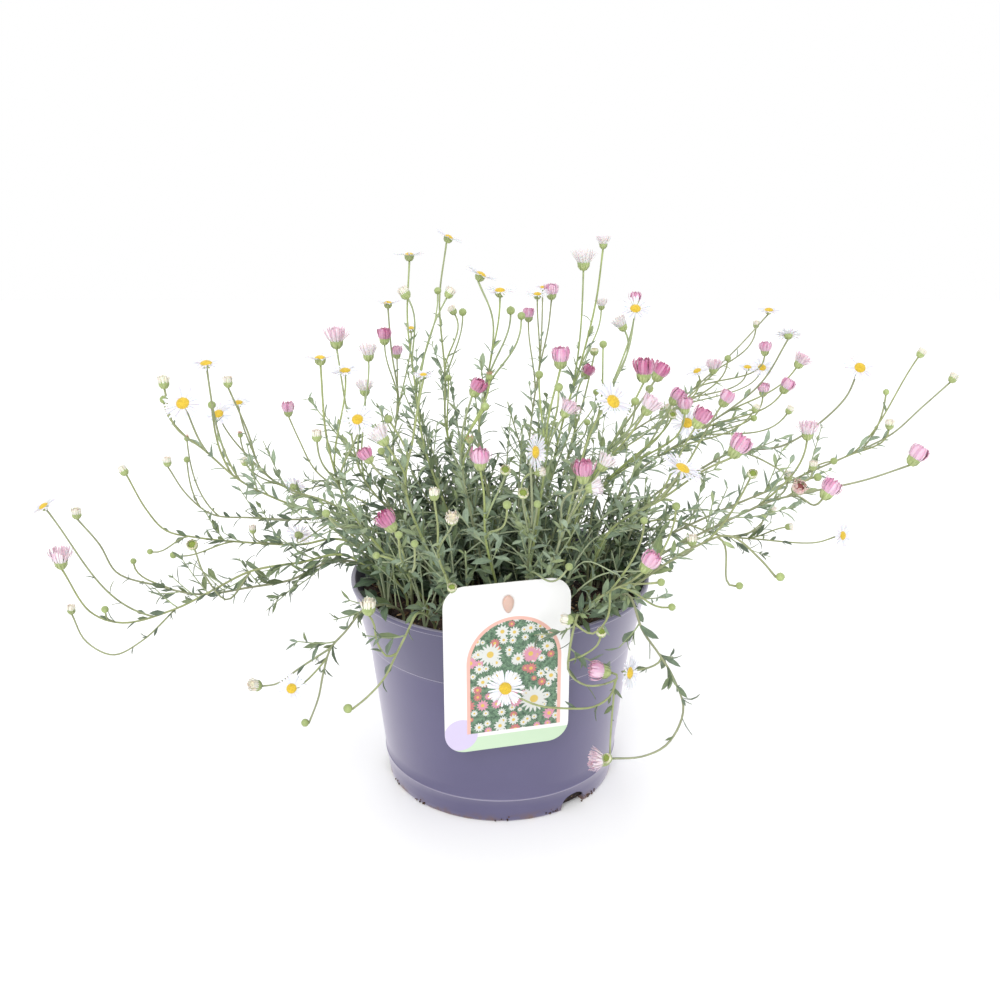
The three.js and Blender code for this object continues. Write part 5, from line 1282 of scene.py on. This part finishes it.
# The pot is turned: its profile goes up the outside, over the rim, and down the inside
def makePot():
    s = potSizes
    rng = np.random.default_rng(7)
    lip = s["height"] - s["lipHeight"]
    wall, step = s["wall"], s["bandBottom"]
    slope = (s["bandRadius"] - s["bandStep"] - s["baseRadius"]) / step
    at = lambda height: s["baseRadius"] + slope * height
    band, rim, collarTop = s["bandRadius"], s["rimRadius"], s["rimRadius"] - s["lipStep"]
    levels = np.linspace(step + 2, lip - 0.5, 9)
    collar = [[np.interp(z, [step + 0.3, lip], [band, collarTop]), z] for z in levels]
    ridge = [[at(s["ridgeHeight"] + up) + out, s["ridgeHeight"] + up] for up, out in s["ridge"]]
    outside = [
        [0, 0.5], [at(0) - 8, 0.5], [at(0) - 7, 0], [at(0) - 1.2, 0], [at(0) - 0.35, 0.3], [at(1), 1.1],
        [at(4), 4], [at(9), 9], *ridge, *[[at(z), z] for z in np.linspace(22, step - 3, 9)],
        [at(step - 0.6), step - 0.6], [at(step - 0.3) + 0.1, step - 0.3], [band - 0.35, step - 0.1],
        [band - 0.05, step + 0.2], [band + 0.05, step + 0.8], *collar,
        [collarTop, lip - 0.1], [collarTop + 0.15, lip + 0.05], [rim - 0.25, lip + 0.2], [rim, lip + 0.6],
        [rim, s["height"] - 0.6], [rim - 0.25, s["height"] - 0.15], [rim - 0.7, s["height"]],
    ]
    inside = [
        [collarTop - wall + 0.5, s["height"]], [collarTop - wall + 0.1, s["height"] - 0.2],
        [collarTop - wall, s["height"] - 0.7], *[[radius - wall, z] for radius, z in collar[::-1]],
        [band - wall, step + 1.2], [at(step - 0.2) - wall, step - 0.2], [at(40) - wall, 40],
        [at(s["floor"] + 1) - wall, s["floor"] + 1], [at(0) - wall - 1, s["floor"]], [0, s["floor"]],
    ]
    radii, heights = np.array(outside + inside).T
    skin = newSkin()
    addTurned(skin, np.zeros(3), np.eye(3), radii, heights, 0, (1, 1, 1), sides=s["sides"])
    piece = makePiece("pot_shell", skin, [makePotPlastic()], ["pot"], sharpAngle=50)
    for number in range(s["notches"]):
        carve(piece, makeCutter(np.radians(s["firstNotch"] + number * 360 / s["notches"]), rng))


makePot()
print("pot made")

# Soil

soilTints = {
    "low": srgb(38, 30, 29), "high": srgb(78, 64, 57), "chipDark": srgb(92, 66, 44),
    "chipPale": srgb(188, 158, 120), "fibre": srgb(176, 148, 110), "speck": srgb(222, 214, 202),
}


# Smooth random heights from -1 to 1: random values on a square lattice, eased between its points
def lumps(x, y, size, rng):
    cells = 96
    lattice = rng.uniform(-1, 1, (cells + 1, cells + 1))
    u, v = x / size + cells // 2, y / size + cells // 2
    i, j = np.floor(u).astype(int) % cells, np.floor(v).astype(int) % cells
    s, t = u - np.floor(u), v - np.floor(v)
    s, t = s * s * (3 - 2 * s), t * t * (3 - 2 * t)
    low = mix(lattice[i, j], lattice[i + 1, j], s)
    high = mix(lattice[i, j + 1], lattice[i + 1, j + 1], s)
    return mix(low, high, t)


# The soil's height: its level, a swell of slow waves across the pot, and crumbs of three sizes
def soilHeight(x, y):
    rng = np.random.default_rng(11)
    wave = np.sin(x * 0.16 + 1) * np.sin(y * 0.19 + 2) + 0.4 * np.sin(x * 0.5 + y * 0.3)
    crumb = lumps(x, y, 5.5, rng) * 0.9 + lumps(x, y, 2.4, rng) * 0.8 + lumps(x, y, 1.2, rng) * 0.4
    return soilSizes["top"] + wave * soilSizes["swell"] + crumb * soilSizes["crumb"]


def makeCompost():
    material, tree, shader = newMaterial("compost", {"Roughness": 0.9, "Specular IOR Level": 0.25})
    flecks = ramp(tree, noise(tree, objectPlace(tree), 900.0, 2.0), 0.64, 0.7)
    share = calc(tree, "MULTIPLY", flecks, 0.6)
    paint(tree, shader, blendColors(tree, share, mottled(tree, 420.0, 0.9), soilTints["chipPale"]))
    setBump(tree, shader, useGroup(tree, grain, Scale=1500.0)["Height"], 0.8, 0.0008)
    return material


compostSkin = makeCompost()


# The soil fills the pot: a crumbly top of rings on a turned plug
def makeSoil():
    s, wall = potSizes, potSizes["wall"]
    outer = np.interp(soilSizes["top"], [s["bandBottom"], s["height"]], [s["bandRadius"], s["rimRadius"]])
    outer = outer - wall - 0.9
    sides, rings = soilSizes["sides"], soilSizes["rings"]
    angle = roundAngles(sides)
    far = outer * np.linspace(1, 1 / rings, rings)[:, None]
    x, y = far * np.cos(angle), far * np.sin(angle)
    sunk = np.clip((far - outer + 3) / 3, 0, 1) * soilSizes["dip"]
    top = np.stack([x, y, soilHeight(x, y) - sunk], axis=-1)
    plug = np.array([
        [s["baseRadius"] - wall - 0.6, 3], [s["bandRadius"] - s["bandStep"] - wall - 0.5, 88.5],
        [s["bandRadius"] - wall - 0.4, 91], [outer, 107],
    ])
    radius, height = (np.repeat(column[:, None], sides, axis=1) for column in plug.T)
    skirt = np.stack([radius * np.cos(angle), radius * np.sin(angle), height], axis=-1)
    points = np.concatenate([skirt, top])
    ends = np.array([[0, 0, 3], [0, 0, soilHeight(np.zeros(1), np.zeros(1))[0]]])
    height = (points[..., 2].ravel() - soilSizes["top"] + 1.6) / 3.6
    tint = mix(soilTints["low"], soilTints["high"], np.clip(np.append(height, [0, 0.5]), 0, 1)[:, None])
    skin = newSkin()
    points = np.concatenate([points.reshape(-1, 3), ends])
    addSkin(skin, points, ringFaces(len(skirt) + rings, sides), 0, tint, (0.5, 0.5))
    makePiece("soil_body", skin, [compostSkin], ["soil"], sharpAngle=80)


# A rough ball of 12 points, as the corners of an icosahedron
golden = (1 + 5 ** 0.5) / 2
ballPoints = unit(np.array([
    (-1, golden, 0), (1, golden, 0), (-1, -golden, 0), (1, -golden, 0), (0, -1, golden), (0, 1, golden),
    (0, -1, -golden), (0, 1, -golden), (golden, 0, -1), (golden, 0, 1), (-golden, 0, -1), (-golden, 0, 1),
], float))
ballFaces = np.array([
    (0, 11, 5), (0, 5, 1), (0, 1, 7), (0, 7, 10), (0, 10, 11), (1, 5, 9), (5, 11, 4), (11, 10, 2), (10, 7, 6),
    (7, 1, 8), (3, 9, 4), (3, 4, 2), (3, 2, 6), (3, 6, 8), (3, 8, 9), (4, 9, 5), (2, 4, 11), (6, 2, 10),
    (8, 6, 7), (9, 8, 1),
])


# Adds balls whose points are given, with a tint for each
def addBalls(skin, points, tints):
    faces = copyFaces(ballFaces, len(points), len(ballPoints))
    addSkin(skin, points, [faces], 0, np.repeat(tints, len(ballPoints), axis=0), (0.5, 0.5))


# Lumps strewn over the soil: each a rough ball, stretched along three directions and half sunk in
def addLumps(skin, count, size, stretch, tintLow, tintHigh, rng, lift):
    far = np.sqrt(rng.uniform(0, 1, count)) * soilSizes["lumpReach"]
    angle = rng.uniform(0, 2 * np.pi, count)
    x, y = far * np.cos(angle), far * np.sin(angle)
    scale = size * rng.uniform(0.5, 1.4, count)
    centre = np.stack([x, y, soilHeight(x, y) + scale * lift], axis=-1)
    turn = rng.uniform(0, 2 * np.pi, count)
    tilt = rng.normal(0, 0.25, count)
    ahead = np.stack([np.cos(turn) * np.cos(tilt), np.sin(turn) * np.cos(tilt), np.sin(tilt)], axis=-1)
    side = unit(np.cross(np.array([0, 0, 1.0]), ahead))
    upper = np.cross(ahead, side)
    rough = rng.uniform(0.75, 1.2, (count, len(ballPoints), 1)) * ballPoints * np.array(stretch)
    local = np.stack([ahead, side, upper], axis=1)
    points = centre[:, None] + np.einsum("nij,njk->nik", rough * scale[:, None, None], local)
    addBalls(skin, points, mix(tintLow, tintHigh, rng.uniform(0, 1, count)[:, None] ** 2))


def makeCrumbs():
    rng = np.random.default_rng(21)
    skin = newSkin()
    for kind, size, stretch, low, high, lift in (
        ("clods", 1.7, (1, 0.9, 0.75), "low", "high", 0.25),
        ("chips", 1.6, (1.9, 0.5, 0.28), "chipDark", "chipPale", 0.3),
        ("specks", 0.55, (1, 0.9, 0.8), "chipPale", "speck", 0.4),
    ):
        addLumps(skin, soilSizes[kind], size, stretch, soilTints[low], soilTints[high], rng, lift)
    for number in range(soilSizes["fibres"]):
        far = soilSizes["fibreReach"] * np.sqrt(rng.uniform())
        angle, turn = rng.uniform(0, 2 * np.pi), rng.uniform(0, 2 * np.pi)
        length = rng.uniform(3, 10)
        part = np.linspace(-0.5, 0.5, 6)
        x = far * np.cos(angle) + part * length * np.cos(turn) + rng.normal(0, 1.6) * (part ** 2)
        y = far * np.sin(angle) + part * length * np.sin(turn) + rng.normal(0, 1.6) * (part ** 2)
        inward = np.minimum(1, soilSizes["edge"] / np.hypot(x, y))
        x, y = x * inward, y * inward
        z = soilHeight(x, y) + 0.5 + rng.uniform(0, 0.8) * np.cos(part * np.pi)
        tint = mix(soilTints["chipDark"], soilTints["fibre"], rng.uniform())
        addTube(skin, np.stack([x, y, z], axis=1), rng.uniform(0.12, 0.28), 0, tint, sides=4)
    makePiece("soil_crumbs", skin, [compostSkin], sharpAngle=80)


# Crumbs of soil that stick to the foot of the pot, in clusters at these angles
footCrumbs = {"angles": [-153, -132, -91, -64, -43, -38, 20, 75, 130, 172], "count": 84, "spread": 0.045}


def makePotCrumbs():
    rng = np.random.default_rng(31)
    clusters, count = np.radians(footCrumbs["angles"]), footCrumbs["count"]
    angle = clusters[rng.integers(0, len(clusters), count)] + rng.normal(0, footCrumbs["spread"], count)
    height = 0.75 + np.abs(rng.normal(0, 1.3, count))
    far = potRadius(height) + 0.12
    centre = np.stack([far * np.cos(angle), far * np.sin(angle), height], axis=1)
    scale = rng.uniform(0.25, 0.62, (count, 1, 1))
    points = centre[:, None] + scale * ballPoints * rng.uniform(0.7, 1.25, (count, len(ballPoints), 1))
    skin = newSkin()
    addBalls(skin, points, mix(soilTints["low"], soilTints["chipDark"], rng.uniform(0, 1, count)[:, None]))
    makePiece("foot_crumbs", skin, [compostSkin], sharpAngle=80)


makeSoil()
makeCrumbs()
makePotCrumbs()
print("soil made")

# Picture card

# Place along the card, up, and out from the pot's axis
def cardPlace(along, up, out):
    along, up, out = np.broadcast_arrays(along, up, out)
    return along[..., None] * cardAlong + up[..., None] * np.array([0, 0, 1.0]) + out[..., None] * cardOut


# The card's outline, as count points on a rectangle with round corners, from the right side round
def cardOutline(count):
    half = np.array([cardSizes["width"] / 2, cardSizes["height"] / 2])
    corner = cardSizes["corner"]
    pieces = []
    for number in range(4):
        turn = np.linspace(0, np.pi / 2, 17) + number * np.pi / 2
        sign = np.array([(1, 1), (-1, 1), (-1, -1), (1, -1)])[number]
        centre = sign * (half - corner)
        pieces.append(centre + corner * np.stack([np.cos(turn), np.sin(turn)], axis=1))
    line = np.concatenate(pieces + [pieces[0][:1]])
    lengths = lengthsAlong(line)
    return readAt(np.arange(count) * lengths[-1] / count, lengths, line)


cardTints = {
    "paper": srgb(226, 226, 226), "meadowDark": srgb(44, 72, 56), "meadowLight": srgb(112, 144, 114),
    "ray": srgb(204, 206, 202), "pinkRay": srgb(200, 138, 158), "redRay": srgb(184, 110, 110),
    "eye": srgb(204, 176, 84), "band": srgb(186, 208, 180), "lilac": srgb(196, 186, 214),
    "arch": srgb(218, 170, 158),
}
cardPrint = {  # in millimetres from the card's middle: x, y and a radius
    "cells": [(6.5, 0.22, 0.2), (8.5, 0.26, 0.22)],  # cell, and a flower's least and further radius in it
    "flowers": [(14.0, -20.0, 8.0, "ray"), (-9.0, 8.0, 6.5, "ray"), (12.0, 6.0, 4.6, "pinkRay")],
    "window": (3.5, 3.0, 23.0), "frame": 1.8, "foot": -36.0, "band": -38.0, "disc": (-24.5, -36.0, 9.0),
    "soft": 0.2,
}


# 1 where a value is well under a limit, 0 where it is over it
def under(tree, value, limit, soft):
    return ramp(tree, calc(tree, "SUBTRACT", limit, value), 0.0, soft)


def lengthOf(tree, first, second):
    squares = [calc(tree, "POWER", value, 2.0) for value in (first, second)]
    return calc(tree, "SQRT", calc(tree, "ADD", *squares))


def vectorOf(tree, first, second):
    node = addNode(tree, "ShaderNodeCombineXYZ")
    feed(tree, node.inputs[0], first)
    feed(tree, node.inputs[1], second)
    return node.outputs[0]


# Daisy motif: masks of a flower's rays and eye, for a place measured from its middle in its radii
def makeDaisyMotif():
    inputs = {"Place": "Vector", "Rays": "Float"}
    tree, given, result = newGroup("daisyMotif", inputs, {"Rays": "Float", "Eye": "Float"})
    x, y = splitVector(tree, given["Place"])[:2]
    far = lengthOf(tree, x, y)
    wave = calc(tree, "COSINE", calc(tree, "MULTIPLY", calc(tree, "ARCTAN2", y, x), given["Rays"]))
    edge = calc(tree, "MULTIPLY_ADD", wave, 0.16, 0.84)
    tree.links.new(under(tree, far, edge, 0.08), result["Rays"])
    tree.links.new(under(tree, far, 0.3, 0.05), result["Eye"])
    return tree


# A flower of the print, drawn over what lies there
def drawDaisy(tree, motif, color, spot, rays, rayColor):
    flower = useGroup(tree, motif, Place=spot, Rays=rays)
    color = blendColors(tree, flower["Rays"], color, rayColor)
    return blendColors(tree, flower["Eye"], color, cardTints["eye"])


# A meadow strewn with daisies, one to a cell and some of them pink or red, and three larger ones
def drawMeadow(tree, x, y):
    ground = ramp(tree, noise(tree, vectorOf(tree, x, y), 0.55, 4.0, 0.7), 0.35, 0.65)
    color = blendColors(tree, ground, cardTints["meadowDark"], cardTints["meadowLight"])
    motif = makeDaisyMotif()
    for cell, least, further in cardPrint["cells"]:
        scaled = vectorOf(tree, calc(tree, "DIVIDE", x, cell), calc(tree, "DIVIDE", y, cell))
        cells = addNode(tree, "ShaderNodeTexVoronoi", voronoi_dimensions="2D")
        for label, value in (("Vector", scaled), ("Scale", 1.0), ("Randomness", 0.75)):
            feed(tree, cells.inputs[label], value)
        chance = splitVector(tree, cells.outputs["Color"])
        radius = calc(tree, "MULTIPLY_ADD", chance[0], further, least)
        offset = addNode(tree, "ShaderNodeVectorMath", operation="SUBTRACT")
        tree.links.new(scaled, offset.inputs[0])
        tree.links.new(cells.outputs["Position"], offset.inputs[1])
        spot = scaleVector(tree, offset.outputs[0], calc(tree, "DIVIDE", 1.0, radius))
        pink, red = (calc(tree, "GREATER_THAN", chance[1], share) for share in (0.66, 0.85))
        ray = blendColors(tree, pink, cardTints["ray"], cardTints["pinkRay"])
        ray = blendColors(tree, red, ray, cardTints["redRay"])
        color = drawDaisy(tree, motif, color, spot, 11.0, ray)
    for middleX, middleY, radius, tint in cardPrint["flowers"]:
        spot = vectorOf(tree, *(calc(tree, "DIVIDE", calc(tree, "SUBTRACT", value, middle), radius)
                                for value, middle in ((x, middleX), (y, middleY))))
        color = drawDaisy(tree, motif, color, spot, 17.0, cardTints[tint])
    return color


# The print: a window on the meadow, half a circle over straight sides in a narrow frame, and below
# it a pale green band and a lilac disc
def makeCardPrint():
    material, tree, shader = newMaterial("cardPrint", {"Roughness": 0.34, "Coat Weight": 0.2})
    x, y = (calc(tree, "MULTIPLY", calc(tree, "SUBTRACT", share, 0.5), cardSizes[side])
            for share, side in zip(wayPlace(tree), ("width", "height")))
    meadow = drawMeadow(tree, x, y)
    soft, foot = cardPrint["soft"], cardPrint["foot"]
    archX, archY, archRadius = cardPrint["window"]
    sideX = calc(tree, "SUBTRACT", x, archX)
    arch = lengthOf(tree, sideX, calc(tree, "MAXIMUM", calc(tree, "SUBTRACT", y, archY), 0.0))
    above = ramp(tree, y, foot - 0.1, foot + 0.1)
    window, edge = (calc(tree, "MULTIPLY", under(tree, arch, radius, soft), above)
                    for radius in (archRadius, archRadius + cardPrint["frame"]))
    band = under(tree, y, cardPrint["band"], soft)
    ground = blendColors(tree, band, cardTints["paper"], cardTints["band"])
    discX, discY, discRadius = cardPrint["disc"]
    disc = lengthOf(tree, calc(tree, "SUBTRACT", x, discX), calc(tree, "SUBTRACT", y, discY))
    ground = blendColors(tree, under(tree, disc, discRadius, soft), ground, cardTints["lilac"])
    ground = blendColors(tree, edge, ground, cardTints["arch"])
    paint(tree, shader, blendColors(tree, window, ground, meadow))
    return material


# Plain plastic or board of one tint with a faint mottle
def makePlain(name, settings, tint, scale, strength):
    material, tree, shader = newMaterial(name, settings)
    paint(tree, shader, mottled(tree, scale, strength, srgb(*tint)))
    return material


# The card is a ring of sections: out over the back from the peg's hole, round the edge, and back
# over the front. Its first rings are the back and the edge.
def makeCard():
    count = 176
    outline = cardOutline(count)
    middle = np.array([0, pegSizes["height"] - cardSizes["bottom"] - cardSizes["height"] / 2])
    angle = np.arctan2(outline[:, 1] - middle[1], outline[:, 0])
    hole = middle + pegSizes["hole"] * np.stack([np.cos(angle), np.sin(angle)], axis=1)
    half = cardSizes["thickness"] / 2
    spread = np.concatenate([[0, 0.004], np.linspace(0.05, 0.95, 13), [0.99, 0.997]])
    back = [(part, -half) for part in spread]
    front = [(part, half) for part in spread[::-1]]
    rows = back + [(1.0, -half * 0.6), (1.0, half * 0.6)] + front
    flat = np.array([mix(hole, outline, part) for part, depth in rows])
    depth = np.array([depth for part, depth in rows])[:, None]
    out = potSizes["rimRadius"] + cardSizes["gap"] + half + depth
    up = cardSizes["bottom"] + cardSizes["height"] / 2 + flat[..., 1]
    points = cardPlace(cardSizes["shift"] + flat[..., 0], up, out)
    rings = len(rows)
    ring, here = np.arange(rings)[:, None] * count, np.arange(count)[None, :]
    after, beyond = (here + 1) % count, (ring + count) % (rings * count)
    quads = np.stack([ring + here, ring + after, beyond + after, beyond + here], axis=-1)[..., ::-1]
    slots = np.arange(rings) >= len(back) + 1
    way = flat / np.array([cardSizes["width"], cardSizes["height"]]) + 0.5
    skin = newSkin()
    addSkin(skin, points, [], 0, (1, 1, 1), way.reshape(-1, 2))
    for slot in (0, 1):
        faces = quads[slots == bool(slot)].reshape(-1, 4)
        skin["faces"].append(faces)
        skin["slots"].append(np.full(len(faces), slot))
    edgeSkin = makePlain("cardEdge", {"Roughness": 0.4}, (238, 238, 234), 60.0, 0.04)
    makePiece("picture_card", skin, [edgeSkin, makeCardPrint()], ["label_card"], sharpAngle=40)


# The peg that holds the card: a drop-shaped head, and an arm over the rim that bends down into
# the soil
def makePeg():
    s = pegSizes
    skin = newSkin()
    front = potSizes["rimRadius"] + cardSizes["gap"] + cardSizes["thickness"] + 0.3
    angle = roundAngles(28)
    wide = s["headWidth"] / 2 * (1 - 0.22 * np.clip(-np.sin(angle), 0, 1))
    tall = np.where(np.sin(angle) > 0, s["headHeight"] * 0.42, s["headHeight"] * 0.58)
    thick = s["headThickness"]
    parts = np.array([0.9, 1, 1, 0.94, 0.8, 0.55, 0.28])
    depths = np.array([0, 0.1, 0.45, 0.72, 0.88, 0.97, 1.0]) * thick
    shift, middle = cardSizes["shift"], s["height"] - 0.3
    along = shift + parts[:, None] * np.cos(angle) * wide
    up = middle + parts[:, None] * np.sin(angle) * tall
    rings = cardPlace(along, up, front + depths[:, None])
    ends = cardPlace(shift, middle, front + np.array([0, thick]))
    points = np.concatenate([rings.reshape(-1, 3), ends])
    addSkin(skin, points, ringFaces(len(parts), len(angle)), 0, (1, 1, 1), (0.5, 0.5))
    leg = front + 0.3 - s["reach"]
    turn = np.linspace(0, np.pi / 2, 7)[1:]
    bend = np.stack([leg + 3 - 3 * np.sin(turn), s["height"] - 3 + 3 * np.cos(turn)], axis=1)
    line = np.array([[front + 0.6, s["height"]], [front - 5, s["height"]], [leg + 3, s["height"]],
                     *bend, [leg, 125], [leg, soilSizes["top"] - soilSizes["holeDepth"] + 1]])
    addTube(skin, cardPlace(shift, line[:, 1], line[:, 0]), s["shank"], 0, (1, 1, 1), sides=10)
    settings = {"Roughness": 0.35, "Subsurface Weight": 0.1, "Subsurface Scale": 0.002}
    pegPlastic = makePlain("pegPlastic", settings, (196, 166, 153), 180.0, 0.1)
    makePiece("card_peg", skin, [pegPlastic], ["label_peg"], sharpAngle=50)


makeCard()
makePeg()
print("card and peg made")

# Floor, light and camera

studio = {
    "floor": 3.4, "floorTint": (0.96, 0.96, 0.96), "world": 1.0, "lens": 39.6, "sensor": 36,
    "distance": 0.618, "elevation": 19.46, "aim": (0, 0, 0.1655),
    "lights": {  # where each stands, where it points, its size in metres and its power in watts
        "key_light": ((-0.3, -1.6, 1.2), (0, 0, 0.15), 1.0, 17),
        "fill_light": ((1.4, -0.5, 1.0), (0, 0, 0.15), 1.4, 3),
        "back_light": ((-0.3, 1.3, 1.4), (0, 0, 0.2), 1.2, 8),
    },
}


def makeFloor():
    half = studio["floor"] / 2
    mesh = bpy.data.meshes.new("pale_floor")
    corners = [(-half, -half, 0), (half, -half, 0), (half, half, 0), (-half, half, 0)]
    mesh.from_pydata(corners, [], [(0, 1, 2, 3)])
    material, tree, shader = newMaterial("paleFloor", {"Roughness": 0.8, "Specular IOR Level": 0.2})
    shader.inputs["Base Color"].default_value = (*studio["floorTint"], 1)
    mesh.materials.append(material)
    newObject("pale_floor", mesh)


def turnTo(thing, at, aim):
    thing.location = at
    thing.rotation_euler = (Vector(aim) - Vector(at)).to_track_quat("-Z", "Y").to_euler()


def addLight(name, at, aim, size, power):
    data = bpy.data.lights.new(name, "AREA")
    data.shape = "DISK"
    data.size, data.energy = size, power
    light = newObject(name, data)
    turnTo(light, at, aim)


def setWorld():
    world = bpy.data.worlds.new("white_room")
    world.use_nodes = True
    background = world.node_tree.nodes["Background"]
    background.inputs["Color"].default_value = (1, 1, 1, 1)
    background.inputs["Strength"].default_value = studio["world"]
    scene.world = world


def setCamera():
    data = bpy.data.cameras.new("photo_camera")
    data.lens, data.sensor_width = studio["lens"], studio["sensor"]
    camera = newObject("photo_camera", data)
    tilt = np.radians(studio["elevation"])
    aim = Vector(studio["aim"])
    turnTo(camera, aim + studio["distance"] * Vector((0, -np.cos(tilt), np.sin(tilt))), aim)
    scene.camera = camera


makeFloor()
setWorld()
for name, light in studio["lights"].items():
    addLight(name, *light)
setCamera()
scene.view_settings.view_transform = "Standard"
print("floor, lights and camera set")

made = [piece for piece in scene.objects if piece.type == "MESH" and not piece.hide_render]
triangles = sum(len(face.vertices) - 2 for piece in made for face in piece.data.polygons)
print("triangles shown:", triangles)
